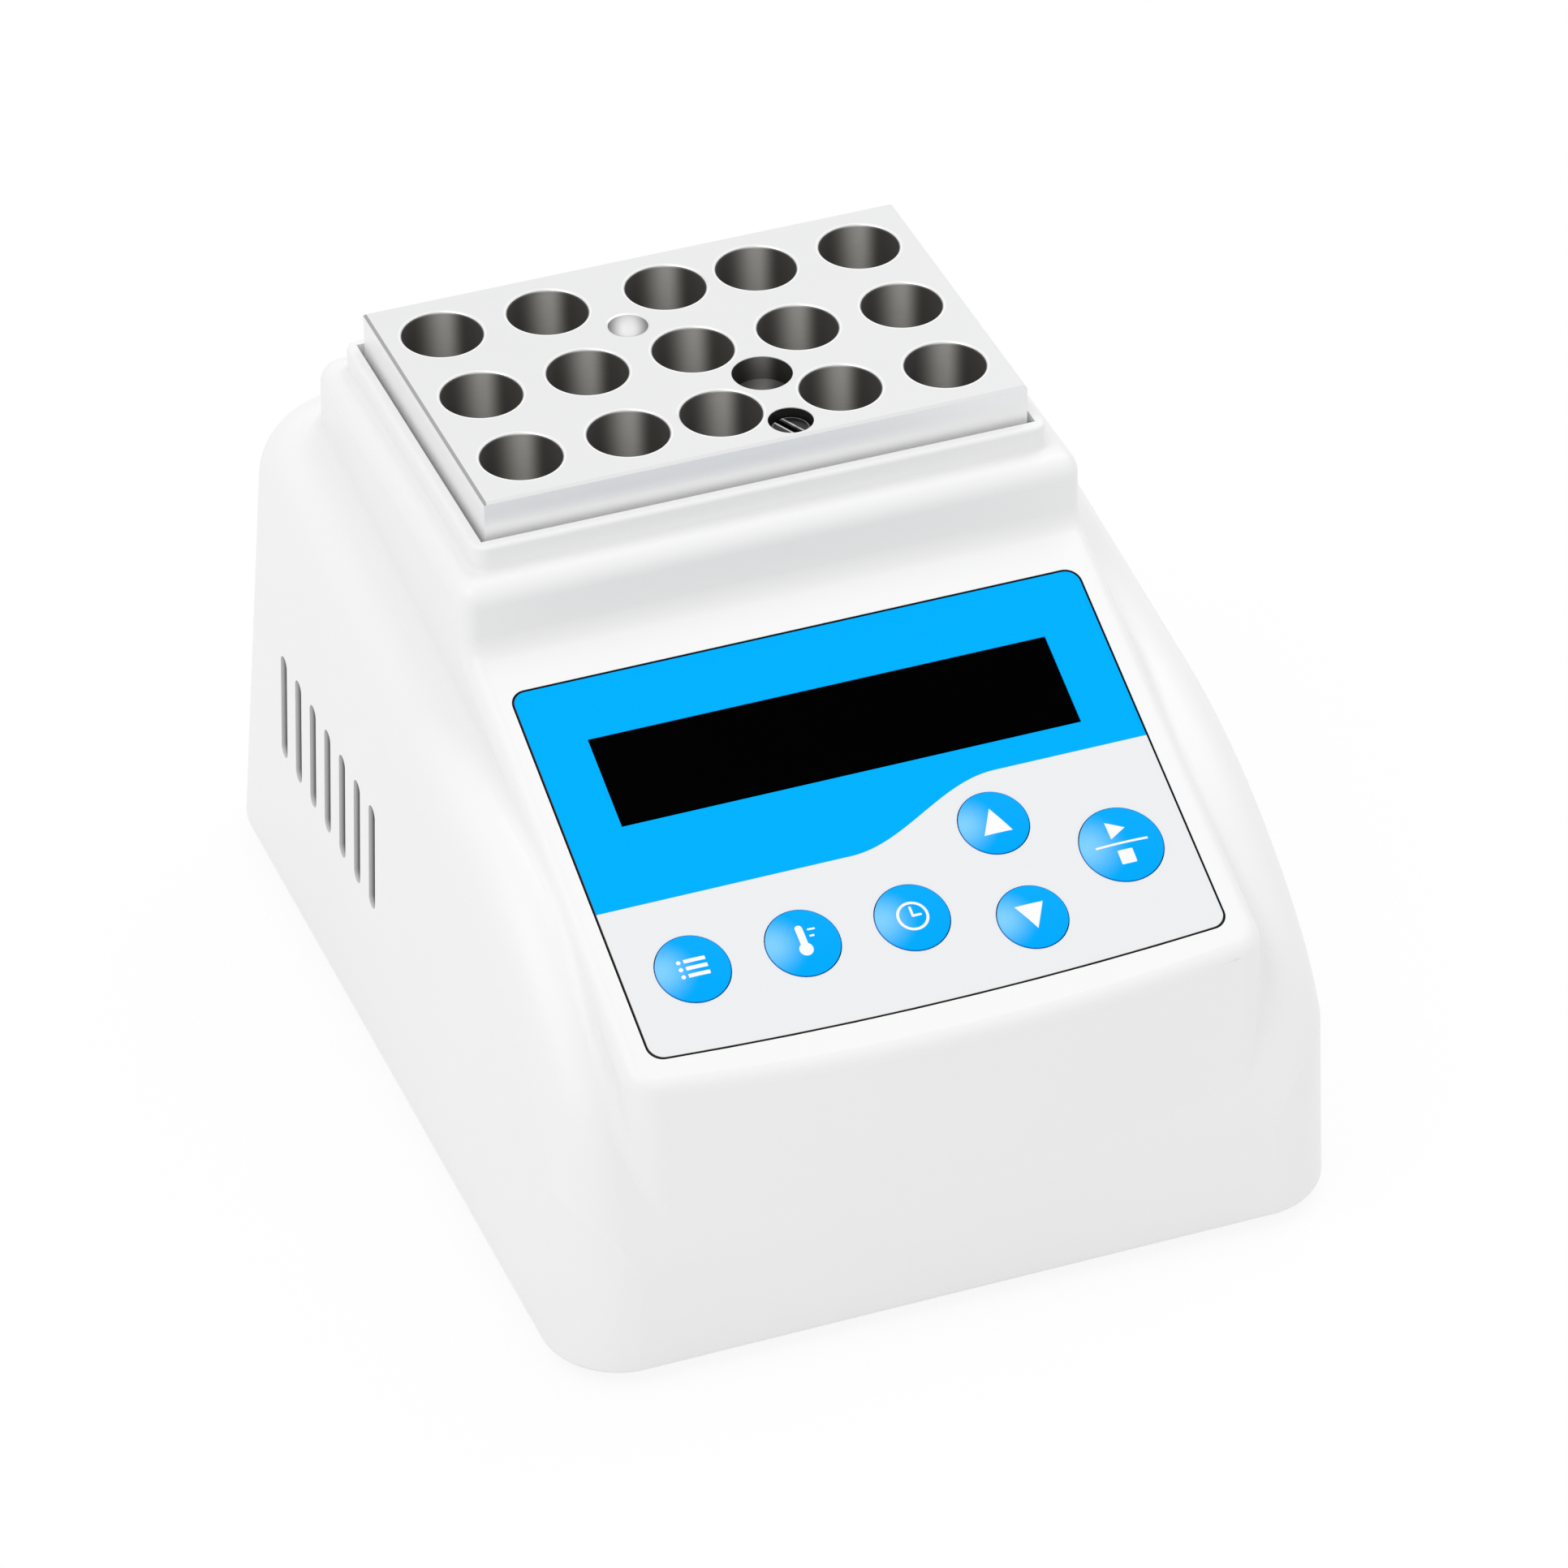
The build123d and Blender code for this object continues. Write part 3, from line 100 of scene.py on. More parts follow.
# where a mix node keeps its two inputs and its result, for each kind of value
mixSockets = {"RGBA": (6, 7, 2), "VECTOR": (4, 5, 1), "FLOAT": (2, 3, 0)}


def mixValues(tree, kind, factor, first, second):
    start, end, result = mixSockets[kind]
    node = addNode(tree, "ShaderNodeMix", {"data_type": kind}, {0: factor, start: first, end: second})
    return node.outputs[result]


def mixColour(tree, factor, first, second):
    return mixValues(tree, "RGBA", factor, first, second)


def mixVector(tree, factor, first, second):
    return mixValues(tree, "VECTOR", factor, first, second)


def mixNumber(tree, factor, first, second):
    return mixValues(tree, "FLOAT", factor, first, second)


def placeGroup(tree, group, inputs):
    return addNode(tree, "ShaderNodeGroup", {"node_tree": group}, inputs)


def startGroup(name, inputs, outputs):
    group = bpy.data.node_groups.new(name, "ShaderNodeTree")
    for label, kind in inputs.items():
        group.interface.new_socket(label, in_out="INPUT", socket_type=kind)
    for label, kind in outputs.items():
        group.interface.new_socket(label, in_out="OUTPUT", socket_type=kind)
    return group, group.nodes.new("NodeGroupInput").outputs, group.nodes.new("NodeGroupOutput").inputs


number = "NodeSocketFloat"
arrow = "NodeSocketVector"

# moulded grain: fine pebbles in the surface, and a slow change of gloss
grain = {"fineDetail": 4.0, "fineRough": 0.6, "slowSize": 28.0, "slowDetail": 3.0, "slowRough": 0.5,
         "height": 0.0001, "middle": 0.5}


def makeMouldedGrain(look):
    group, given, wanted = startGroup(
        "mouldedGrain",
        {"Place": arrow, "Size": number, "Depth": number, "Gloss": number, "Change": number},
        {"Normal": arrow, "Roughness": number, "Cloud": number})
    fine = addNode(group, "ShaderNodeTexNoise", None, {
        "Vector": given["Place"], "Scale": given["Size"],
        "Detail": look["fineDetail"], "Roughness": look["fineRough"]})
    slow = addNode(group, "ShaderNodeTexNoise", None, {
        "Vector": given["Place"], "Scale": look["slowSize"],
        "Detail": look["slowDetail"], "Roughness": look["slowRough"]})
    bump = addNode(group, "ShaderNodeBump", None, {
        "Strength": given["Depth"], "Distance": look["height"], "Height": fine.outputs[0]})
    spread = doMath(group, "SUBTRACT", slow.outputs[0], look["middle"])
    gloss = doMath(group, "MULTIPLY_ADD", spread, given["Change"], given["Gloss"])
    group.links.new(gloss, wanted["Roughness"])
    group.links.new(bump.outputs[0], wanted["Normal"])
    group.links.new(slow.outputs[0], wanted["Cloud"])
    return group


# tool marks: noise stretched along one way, as a cutter or a brush leaves it
marks = {"size": 1.0, "detail": 5.0, "rough": 0.65, "height": 0.00005, "middle": 0.5}


def makeToolMarks(look):
    group, given, wanted = startGroup(
        "toolMarks",
        {"Place": arrow, "Stretch": arrow, "Depth": number, "Gloss": number, "Change": number},
        {"Normal": arrow, "Roughness": number, "Marks": number})
    lines = addNode(group, "ShaderNodeTexNoise", None, {
        "Vector": doVector(group, "MULTIPLY", given["Place"], given["Stretch"]),
        "Scale": look["size"], "Detail": look["detail"], "Roughness": look["rough"]})
    bump = addNode(group, "ShaderNodeBump", None, {
        "Strength": given["Depth"], "Distance": look["height"], "Height": lines.outputs[0]})
    spread = doMath(group, "SUBTRACT", lines.outputs[0], look["middle"])
    gloss = doMath(group, "MULTIPLY_ADD", spread, given["Change"], given["Gloss"])
    group.links.new(gloss, wanted["Roughness"])
    group.links.new(bump.outputs[0], wanted["Normal"])
    group.links.new(lines.outputs[0], wanted["Marks"])
    return group


# the console's own plane, from the display's middle: across, up the slope and out of it, in millimetres
console = {"origin": (0.0, -0.02785, 0.0631), "tilt": 23.0, "perMetre": (1000.0, 1000.0, 1000.0)}


def makeConsolePlane(look):
    group, given, wanted = startGroup(
        "consolePlane", {"Place": arrow}, {"Across": number, "Up": number, "Out": number})
    tilt = math.radians(look["tilt"])
    moved = doVector(group, "SUBTRACT", given["Place"], look["origin"])
    scaled = doVector(group, "MULTIPLY", moved, look["perMetre"])
    ways = {
        "Across": (1, 0, 0),
        "Up": (0, math.cos(tilt), math.sin(tilt)),
        "Out": (0, -math.sin(tilt), math.cos(tilt)),
    }
    for label, way in ways.items():
        group.links.new(doLength(group, "DOT_PRODUCT", scaled, way), wanted[label])
    return group


# how far a place lies beyond the panel's rounded outline, which bows down at its lower edge
sheet = {"half": 40.3, "top": 16.2, "sideBottom": -41.6, "bow": 1.5, "corner": 2.0}


def makeSheetOutline(look):
    group, given, wanted = startGroup(
        "sheetOutline", {"Across": number, "Up": number}, {"Beyond": number})
    share = doMath(group, "DIVIDE", given["Across"], look["half"])
    bowed = doMath(group, "MULTIPLY", doMath(group, "MULTIPLY", share, share), look["bow"])
    bottom = doMath(group, "ADD", bowed, look["sideBottom"] - look["bow"] + look["corner"])
    aside = doMath(group, "ABSOLUTE", given["Across"])
    aside = doMath(group, "SUBTRACT", aside, look["half"] - look["corner"])
    above = doMath(group, "SUBTRACT", given["Up"], look["top"] - look["corner"])
    outside = doMath(group, "MAXIMUM", above, doMath(group, "SUBTRACT", bottom, given["Up"]))
    reach = lengthOfTwo(group, doMath(group, "MAXIMUM", aside, 0.0),
                        doMath(group, "MAXIMUM", outside, 0.0))
    group.links.new(doMath(group, "SUBTRACT", reach, look["corner"]), wanted["Beyond"])
    return group


def lengthOfTwo(tree, first, second):
    square = doMath(tree, "MULTIPLY", first, first)
    return doMath(tree, "SQRT", doMath(tree, "MULTIPLY_ADD", second, second, square))


# printed marks: masks that are 1 inside and 0 outside, with an edge as soft as ink
ink = {"soft": 0.03}
printPlace = {"Across": number, "Up": number, "Middle x": number, "Middle y": number}


def inkEdge(group, distance):
    return softStep(group, distance, ink["soft"], -ink["soft"])


# rounded bar: the distance beyond a box that is smaller by the rounding, less the rounding
def makePrintedBar():
    group, given, wanted = startGroup(
        "printedBar", printPlace | {"Half width": number, "Half height": number, "Rounding": number},
        {"Mask": number})
    beyond = []
    for place, middle, half in (("Across", "Middle x", "Half width"), ("Up", "Middle y", "Half height")):
        aside = doMath(group, "ABSOLUTE", doMath(group, "SUBTRACT", given[place], given[middle]))
        inner = doMath(group, "SUBTRACT", given[half], given["Rounding"])
        beyond.append(doMath(group, "MAXIMUM", doMath(group, "SUBTRACT", aside, inner), 0.0))
    reach = lengthOfTwo(group, beyond[0], beyond[1])
    group.links.new(inkEdge(group, doMath(group, "SUBTRACT", reach, given["Rounding"])), wanted["Mask"])
    return group


# ring, or a disc at radius 0: the distance from the circle, less half the line's width
def makePrintedRing():
    group, given, wanted = startGroup(
        "printedRing", printPlace | {"Radius": number, "Half line": number}, {"Mask": number})
    reach = lengthOfTwo(group, doMath(group, "SUBTRACT", given["Across"], given["Middle x"]),
                        doMath(group, "SUBTRACT", given["Up"], given["Middle y"]))
    line = doMath(group, "ABSOLUTE", doMath(group, "SUBTRACT", reach, given["Radius"]))
    group.links.new(inkEdge(group, doMath(group, "SUBTRACT", line, given["Half line"])), wanted["Mask"])
    return group


# triangle: its half width shrinks evenly towards the end it points to (1 up, -1 down)
def makePrintedTriangle():
    group, given, wanted = startGroup(
        "printedTriangle", printPlace | {"Half width": number, "Half height": number, "Points": number},
        {"Mask": number})
    aside = doMath(group, "ABSOLUTE", doMath(group, "SUBTRACT", given["Across"], given["Middle x"]))
    rise = doMath(group, "SUBTRACT", given["Up"], given["Middle y"])
    rise = doMath(group, "MULTIPLY", rise, given["Points"])
    height = doMath(group, "ADD", given["Half height"], given["Half height"])
    share = doMath(group, "DIVIDE", doMath(group, "SUBTRACT", given["Half height"], rise), height)
    side = doMath(group, "SUBTRACT", aside, doMath(group, "MULTIPLY", share, given["Half width"]))
    foot = doMath(group, "SUBTRACT", doMath(group, "SUBTRACT", 0.0, rise), given["Half height"])
    group.links.new(inkEdge(group, doMath(group, "MAXIMUM", side, foot)), wanted["Mask"])
    return group


# soft round spot: 1 in its middle, fading to 0 at its reach
def makeSoftSpot():
    group, given, wanted = startGroup("softSpot", printPlace | {"Reach": number}, {"Mask": number})
    away = lengthOfTwo(group, doMath(group, "SUBTRACT", given["Across"], given["Middle x"]),
                       doMath(group, "SUBTRACT", given["Up"], given["Middle y"]))
    share = doMath(group, "DIVIDE", away, given["Reach"])
    group.links.new(softStep(group, share, 1.0, 0.0), wanted["Mask"])
    return group


mouldedGrain = makeMouldedGrain(grain)
toolMarks = makeToolMarks(marks)
consolePlane = makeConsolePlane(console)
sheetOutline = makeSheetOutline(sheet)
printedBar = makePrintedBar()
printedRing = makePrintedRing()
printedTriangle = makePrintedTriangle()
softSpot = makeSoftSpot()
print("shared effects built")


def placeGrain(tree, place, look):
    return placeGroup(tree, mouldedGrain, {
        "Place": place, "Size": look["grain"], "Depth": look["depth"],
        "Gloss": look["gloss"], "Change": look["change"]})


def placeMarks(tree, place, look):
    return placeGroup(tree, toolMarks, {
        "Place": place, "Stretch": look["stretch"], "Depth": look["depth"],
        "Gloss": look["gloss"], "Change": look["change"]})


def finishShader(tree, shader, colour, surface):
    tree.links.new(colour, shader.inputs["Base Color"])
    tree.links.new(surface.outputs["Roughness"], shader.inputs["Roughness"])
    tree.links.new(surface.outputs["Normal"], shader.inputs["Normal"])


# one finish for every moulded or painted plastic piece
def makePlastic(name, look):
    material, tree, shader, place = startMaterial(name)
    surface = placeGrain(tree, place, look)
    colour = mixColour(tree, surface.outputs["Cloud"], look["colour"], look["shade"])
    finishShader(tree, shader, colour, surface)
    shader.inputs["Specular IOR Level"].default_value = look["shine"]
    return material


# one finish for every cut, drawn or plated metal piece
def makeMetal(name, look):
    material, tree, shader, place = startMaterial(name)
    surface = placeMarks(tree, place, look)
    colour = mixColour(tree, surface.outputs["Marks"], look["colour"], look["shade"])
    finishShader(tree, shader, colour, surface)
    shader.inputs["Metallic"].default_value = look["metal"]
    return material


def dress(names, material):
    for name in names:
        slots = nodes[name].data.materials
        slots.clear()
        slots.append(material)


# white moulded housing, with painted shade inside its vents and a painted shade line on the recess wall
# round the panel
housing = {
    "colour": (0.905, 0.905, 0.905, 1), "shade": (0.885, 0.885, 0.885, 1), "shine": 0.42,
    "grain": 2600.0, "depth": 0.05, "gloss": 0.34, "change": 0.06,
    "wallAtFloor": 0.0554, "wallLean": 0.0332,  # the side wall's place, and how it leans in with height
    # painted shade: near black on the inner walls behind the side wall, seen through the vents
    "ventShade": (0.02, 0.018, 0.015, 1), "ventFrom": 0.0001, "ventTo": 0.001,
    "ventMiddle": (0.02495, 0.0337), "ventHalf": (0.0215, 0.0088),  # along the side and up it
    # painted shade: a dark line on the recess wall just below the console's face, round the panel's
    # outline
    "line": (0.03, 0.03, 0.03, 1), "shadeLineFrom": -0.1, "shadeLineTo": -1.2, "shadeLineBeyond": 0.6,
}


# painted shade mask: 0 on the leaning side wall and 1 behind it, where the vents' row is
def ventShadeMask(tree, place, look):
    split = addNode(tree, "ShaderNodeSeparateXYZ", None, {0: place}).outputs
    wall = doMath(tree, "MULTIPLY_ADD", split[2], -look["wallLean"], look["wallAtFloor"])
    behind = doMath(tree, "SUBTRACT", wall, doMath(tree, "ABSOLUTE", split[0]))
    depth = softStep(tree, behind, look["ventFrom"], look["ventTo"])
    for axis, middle, half in zip((split[1], split[2]), look["ventMiddle"], look["ventHalf"]):
        depth = doMath(tree, "MULTIPLY", depth, doMath(tree, "COMPARE", axis, middle, half))
    return depth


def makeHousing(name, look):
    material, tree, shader, place = startMaterial(name)
    surface = placeGrain(tree, place, look)
    colour = mixColour(tree, surface.outputs["Cloud"], look["colour"], look["shade"])
    # painted shade inside the vents
    ventShaded = mixColour(tree, ventShadeMask(tree, place, look), colour, look["ventShade"])
    plane = placeGroup(tree, consolePlane, {"Place": place}).outputs
    outline = placeGroup(tree, sheetOutline, {"Across": plane["Across"], "Up": plane["Up"]})
    # painted shade line on the recess wall round the panel
    line = doMath(tree, "LESS_THAN", outline.outputs["Beyond"], look["shadeLineBeyond"])
    line = doMath(tree, "MULTIPLY", line, doMath(tree, "LESS_THAN", plane["Out"], look["shadeLineFrom"]))
    line = doMath(tree, "MULTIPLY", line, doMath(tree, "GREATER_THAN", plane["Out"], look["shadeLineTo"]))
    finishShader(tree, shader, mixColour(tree, line, ventShaded, look["line"]), surface)
    shader.inputs["Specular IOR Level"].default_value = look["shine"]
    return material


dress(["upper_housing"], makeHousing("whiteShell", housing))
print("housing dressed")


# drilled block: milled outside; inside the wells, reamed walls with painted shade and a painted
# reflection streak
block = {
    "middle": (0.0, 0.02525, 0.091), "perMetre": (1000.0, 1000.0, 1000.0), "flat": (1.0, 1.0, 0.0),
    # from here on in millimetres from the middle of the top
    "half": (38.6, 24.85), "skin": 0.6, "rim": -0.13,
    "face": (0.90, 0.90, 0.905, 1), "faceShade": (0.87, 0.873, 0.88, 1), "metal": 0.5,
    "milled": {"stretch": (160.0, 5200.0, 2600.0), "depth": 0.05, "gloss": 0.34, "change": 0.12},
    "reamed": {"stretch": (300.0, 300.0, 9000.0), "depth": 0.12, "gloss": 0.45, "change": 0.12},
    "cloud": {"grain": 900.0, "depth": 0.02, "gloss": 0.3, "change": 0.1},
    "paintedLightBand": (0.93, 0.93, 0.93, 1),  # a lighter, non-metallic band round the sides, where they meet the collar: painted light over the gap's shade
    "paintedLightBandFrom": -1.8, "paintedLightBandTo": -4.4, "paintedLightBandAgain": -7.2, "paintedLightBandEnd": -13.0,
    # painted highlight: a white ring on the chamfer round each well
    "rimHighlightFrom": 5.74, "rimHighlightTo": 6.0, "rimHighlight": (1.0, 1.0, 1.0, 1),
    # painted shade: a grey line along the top of the left face
    "edgeWidth": 0.36, "edge": (0.45, 0.45, 0.45, 1),
}
# rise and fall are shares of the radius; the painted light grows from the top's share to the deep one's,
# over the painted shade and reflection streak of the wells
wells = {
    "pitch": (15.13, 16.0), "askew": 1.93, "near": 0.1, "radius": 5.5,
    "across": (0.934, -0.356, 0.0),  # the way across the picture, along which the painted reflection streak is measured
    # painted shade deep in the bores, and the brightest colour of the painted reflection streak
    "low": (0.10, 0.096, 0.088, 1), "high": (0.80, 0.78, 0.735, 1),
    "riseFrom": -1.0, "riseTo": -0.03, "risePower": 2.1,
    "fallFrom": 0.62, "fallTo": 0.03, "fallPower": 1.7,
    "deep": -7.0, "topShare": 0.7, "deepShare": 1.25, "markShare": 0.2,
}
# the pocket: painted shade darker than the wells, darker still towards its floor
pocket = {
    "middle": (6.6, -8.9, 0.0), "reach": 4.6, "radius": 4.15,
    "topShare": 0.34, "deepShare": 0.25, "deep": -3.6,
}
# the screw's hole: painted nearly black, as shade
screwHole = {"middle": (6.1, -21.0, 0.0), "reach": 3.6, "share": 0.12}
# the dimple: painted shade at its sides and painted light in its middle
dimple = {
    "middle": (-6.1, 8.9, 0.0), "reach": 3.2, "squash": 0.55, "upward": (0.356, 0.934, 0.0),
    "low": (0.12, 0.12, 0.12, 1), "high": (0.80, 0.80, 0.80, 1), "from": 0.6, "to": 3.0,
}


# a place as seen from a piece's own middle, in millimetres
def fromMiddle(tree, place, look):
    moved = doVector(tree, "SUBTRACT", place, look["middle"])
    return doVector(tree, "MULTIPLY", moved, look["perMetre"])


# 1 within one reach of a middle, and the way from that middle
def nearMiddle(tree, flat, look):
    away = doVector(tree, "SUBTRACT", flat, look["middle"])
    reach = doLength(tree, "DISTANCE", flat, look["middle"])
    return doMath(tree, "LESS_THAN", reach, look["reach"]), away


# way from the nearest well's middle, where the wells stand in a grid whose middle column is shifted
# aside by one step per row
def fromNearestWell(tree, flat, split, look):
    column = doMath(tree, "ROUND", doMath(tree, "DIVIDE", split[0], look["pitch"][0]))
    row = doMath(tree, "ROUND", doMath(tree, "DIVIDE", split[1], look["pitch"][1]))
    middleColumn = doMath(tree, "COMPARE", column, 0.0, look["near"])
    askew = doMath(tree, "MULTIPLY", doMath(tree, "MULTIPLY", row, look["askew"]), middleColumn)
    x = doMath(tree, "MULTIPLY_ADD", column, look["pitch"][0], askew)
    y = doMath(tree, "MULTIPLY", row, look["pitch"][1])
    middle = addNode(tree, "ShaderNodeCombineXYZ", None, {0: x, 1: y}).outputs[0]
    return doVector(tree, "SUBTRACT", flat, middle), doLength(tree, "DISTANCE", flat, middle)


# painted reflection streak in a bore: rises slowly from its left side and falls quickly to its right
def paintedBoreReflection(tree, along, look):
    rise = softStep(tree, along, look["riseFrom"], look["riseTo"])
    rise = doMath(tree, "POWER", rise, look["risePower"])
    fall = softStep(tree, along, look["fallFrom"], look["fallTo"])
    fall = doMath(tree, "POWER", fall, look["fallPower"])
    return doMath(tree, "MULTIPLY", rise, fall)


# 1 below the top and behind the outer faces, where the bores and the dimple are
def insideBlock(tree, split, look):
    inside = doMath(tree, "LESS_THAN", split[2], look["rim"])
    for axis, half in zip(split, look["half"]):
        notSkin = doMath(tree, "COMPARE", axis, 0.0, half - look["skin"])
        inside = doMath(tree, "MULTIPLY", inside, notSkin)
    return inside


# painted light and shade of the bores: wells grow lighter downwards, the pocket and the screw's hole are
# darker
def paintedBoreShading(tree, split, inPocket, inScrewHole, cut):
    share = addNode(tree, "ShaderNodeMapRange", None, {
        "Value": split[2], "From Min": wells["deep"], "From Max": 0.0,
        "To Min": wells["deepShare"], "To Max": wells["topShare"]}).outputs[0]
    pocketDepth = softStep(tree, split[2], 0.0, pocket["deep"])
    pocketShare = mixNumber(tree, pocketDepth, pocket["topShare"], pocket["deepShare"])
    share = mixNumber(tree, inPocket, share, pocketShare)
    share = mixNumber(tree, inScrewHole, share, screwHole["share"])
    marked = doMath(tree, "MULTIPLY_ADD", cut, -wells["markShare"], 1.0)
    return doMath(tree, "MULTIPLY", share, marked)


# painted colour of the bores: shade with a painted reflection streak, measured from the middle of the
# well or of the pocket
def paintedBoreColour(tree, split, flat, fromWell, cut):
    inPocket, fromPocket = nearMiddle(tree, flat, pocket)
    inScrewHole = nearMiddle(tree, flat, screwHole)[0]
    alongWell = doLength(tree, "DOT_PRODUCT", fromWell, wells["across"])
    alongWell = doMath(tree, "DIVIDE", alongWell, wells["radius"])
    alongPocket = doLength(tree, "DOT_PRODUCT", fromPocket, wells["across"])
    alongPocket = doMath(tree, "DIVIDE", alongPocket, pocket["radius"])
    along = mixNumber(tree, inPocket, alongWell, alongPocket)
    reflectionStreak = mixColour(tree, paintedBoreReflection(tree, along, wells), wells["low"], wells["high"])
    share = paintedBoreShading(tree, split, inPocket, inScrewHole, cut)
    bore = addNode(tree, "ShaderNodeVectorMath", {"operation": "SCALE"}, {0: reflectionStreak, "Scale": share})
    return bore.outputs[0]


# colour of the outer faces, with a painted highlight ring round each well, the painted light band and a
# painted shade line along the left edge
def faceColour(tree, split, wellReach, cloud, paintedLightBand, look):
    face = mixColour(tree, cloud, look["face"], look["faceShade"])
    rimHighlight = doMath(tree, "MULTIPLY", doMath(tree, "GREATER_THAN", wellReach, look["rimHighlightFrom"]),
                  doMath(tree, "LESS_THAN", wellReach, look["rimHighlightTo"]))
    face = mixColour(tree, rimHighlight, face, look["rimHighlight"])
    face = mixColour(tree, paintedLightBand, face, look["paintedLightBand"])
    leftEdge = doMath(tree, "LESS_THAN", split[0], look["edgeWidth"] - look["half"][0])
    topEdge = doMath(tree, "GREATER_THAN", split[2], -look["edgeWidth"])
    return mixColour(tree, doMath(tree, "MULTIPLY", leftEdge, topEdge), face, look["edge"])


# painted light and shade of the dimple, bright in the middle and dark at its sides
def paintedDimpleShading(tree, fromDimple, look):
    aside = doLength(tree, "DOT_PRODUCT", fromDimple, wells["across"])
    upward = doLength(tree, "DOT_PRODUCT", fromDimple, look["upward"])
    upward = doMath(tree, "MULTIPLY", upward, look["squash"])
    dark = softStep(tree, lengthOfTwo(tree, aside, upward), look["from"], look["to"])
    return mixColour(tree, dark, look["high"], look["low"])


def makeBlockMetal(name, look):
    material, tree, shader, place = startMaterial(name)
    milled = placeMarks(tree, place, look["milled"]).outputs
    reamed = placeMarks(tree, place, look["reamed"]).outputs
    cloud = placeGrain(tree, place, look["cloud"]).outputs
    moved = fromMiddle(tree, place, look)
    split = addNode(tree, "ShaderNodeSeparateXYZ", None, {0: moved}).outputs
    flat = doVector(tree, "MULTIPLY", moved, look["flat"])
    fromWell, wellReach = fromNearestWell(tree, flat, split, wells)
    inDimple, fromDimple = nearMiddle(tree, flat, dimple)

    # masks of the dimple, of the bores and of the painted light band
    inside = insideBlock(tree, split, look)
    dish = doMath(tree, "MULTIPLY", inside, inDimple)
    bored = doMath(tree, "SUBTRACT", inside, dish)
    paintedLightBand = doMath(tree, "MULTIPLY", softStep(tree, split[2], look["paintedLightBandFrom"], look["paintedLightBandTo"]),
                   softStep(tree, split[2], look["paintedLightBandEnd"], look["paintedLightBandAgain"]))

    face = faceColour(tree, split, wellReach, cloud["Cloud"], paintedLightBand, look)
    face = mixColour(tree, dish, face, paintedDimpleShading(tree, fromDimple, dimple))
    bore = paintedBoreColour(tree, split, flat, fromWell, reamed["Marks"])
    metal = doMath(tree, "MULTIPLY_ADD", paintedLightBand, -look["metal"], look["metal"])
    metal = doMath(tree, "MULTIPLY", metal, doMath(tree, "SUBTRACT", 1.0, inside))
    filled = {
        "Base Color": mixColour(tree, bored, face, bore),
        "Roughness": mixNumber(tree, bored, milled["Roughness"], reamed["Roughness"]),
        "Normal": mixVector(tree, bored, milled["Normal"], reamed["Normal"]),
        "Metallic": metal,
    }
    for label, value in filled.items():
        tree.links.new(value, shader.inputs[label])
    return material


dress(["heating_block"], makeBlockMetal("drilledBlock", block))
print("block dressed")


# slotted screw: blackened, with painted highlights along its slot's edges and round its head
screw = {
    "middle": (0.0061, 0.00425, 0.0), "perMetre": (1000.0, 1000.0, 0.0),
    "acrossSlot": (0.9063, 0.4226, 0.0),
    # painted highlights: where they lie along the slot's edges and round the rim, their light grey and
    # their strength
    "edgeAt": 0.7, "edgeReach": 0.22, "rimAt": 2.6, "rimReach": 0.35, "rimShare": 0.6, "top": 0.0895,
    "colour": (0.012, 0.012, 0.012, 1), "paintedGlint": (0.75, 0.75, 0.75, 1), "paintedGlintShare": 1.8, "metal": 0.3,
    "stretch": (900.0, 900.0, 300.0), "depth": 0.1, "gloss": 0.22, "change": 0.1,
}


# a line at one distance, in millimetres, fading over its reach
def brightLine(tree, distance, at, reach):
    away = doMath(tree, "ABSOLUTE", doMath(tree, "SUBTRACT", distance, at))
    return softStep(tree, away, reach, 0.0)


def makeScrew(name, look):
    material, tree, shader, place = startMaterial(name)
    surface = placeMarks(tree, place, look)
    moved = fromMiddle(tree, place, look)
    fromSlot = doMath(tree, "ABSOLUTE", doLength(tree, "DOT_PRODUCT", moved, look["acrossSlot"]))
    fromAxis = doLength(tree, "DISTANCE", moved, (0.0, 0.0, 0.0))
    # painted highlight: light grey on the head's top along the slot's edges and round its rim
    slotGlint = brightLine(tree, fromSlot, look["edgeAt"], look["edgeReach"])
    rimGlint = brightLine(tree, fromAxis, look["rimAt"], look["rimReach"])
    rimGlint = doMath(tree, "MULTIPLY", rimGlint, look["rimShare"])
    height = addNode(tree, "ShaderNodeSeparateXYZ", None, {0: place}).outputs[2]
    paintedGlint = doMath(tree, "MULTIPLY", doMath(tree, "MAXIMUM", slotGlint, rimGlint), surface.outputs["Marks"])
    paintedGlint = doMath(tree, "MULTIPLY", paintedGlint, doMath(tree, "GREATER_THAN", height, look["top"]))
    paintedGlint = doMath(tree, "MULTIPLY", paintedGlint, look["paintedGlintShare"])
    finishShader(tree, shader, mixColour(tree, paintedGlint, look["colour"], look["paintedGlint"]), surface)
    shader.inputs["Metallic"].default_value = look["metal"]
    return material


dress(["block_screw"], makeScrew("slottedScrew", screw))


# printed panel: blue above a line that steps up towards the right, pale below, and a painted shade line
# along its outer edge
panel = {
    "blue": (0.0, 0.43, 1.0, 1), "thrown": (0.45, 0.50, 0.55, 1),  # as seen, and as others take it
    # the edge colour is painted shade along the panel's outer edge, where it meets the recess
    "pale": (0.83, 0.84, 0.85, 1), "edge": (0.04, 0.035, 0.03, 1), "shine": 0.01,
    "low": -19.0, "high": -11.2, "stepFrom": -4.6, "stepTo": 18.4,
    "faceOut": -0.17, "shadeLineShift": -0.07, "shadeLineFrom": -0.11, "shadeLineTo": -0.02,
    "grain": 3000.0, "depth": 0.03, "gloss": 0.32, "change": 0.05,
}


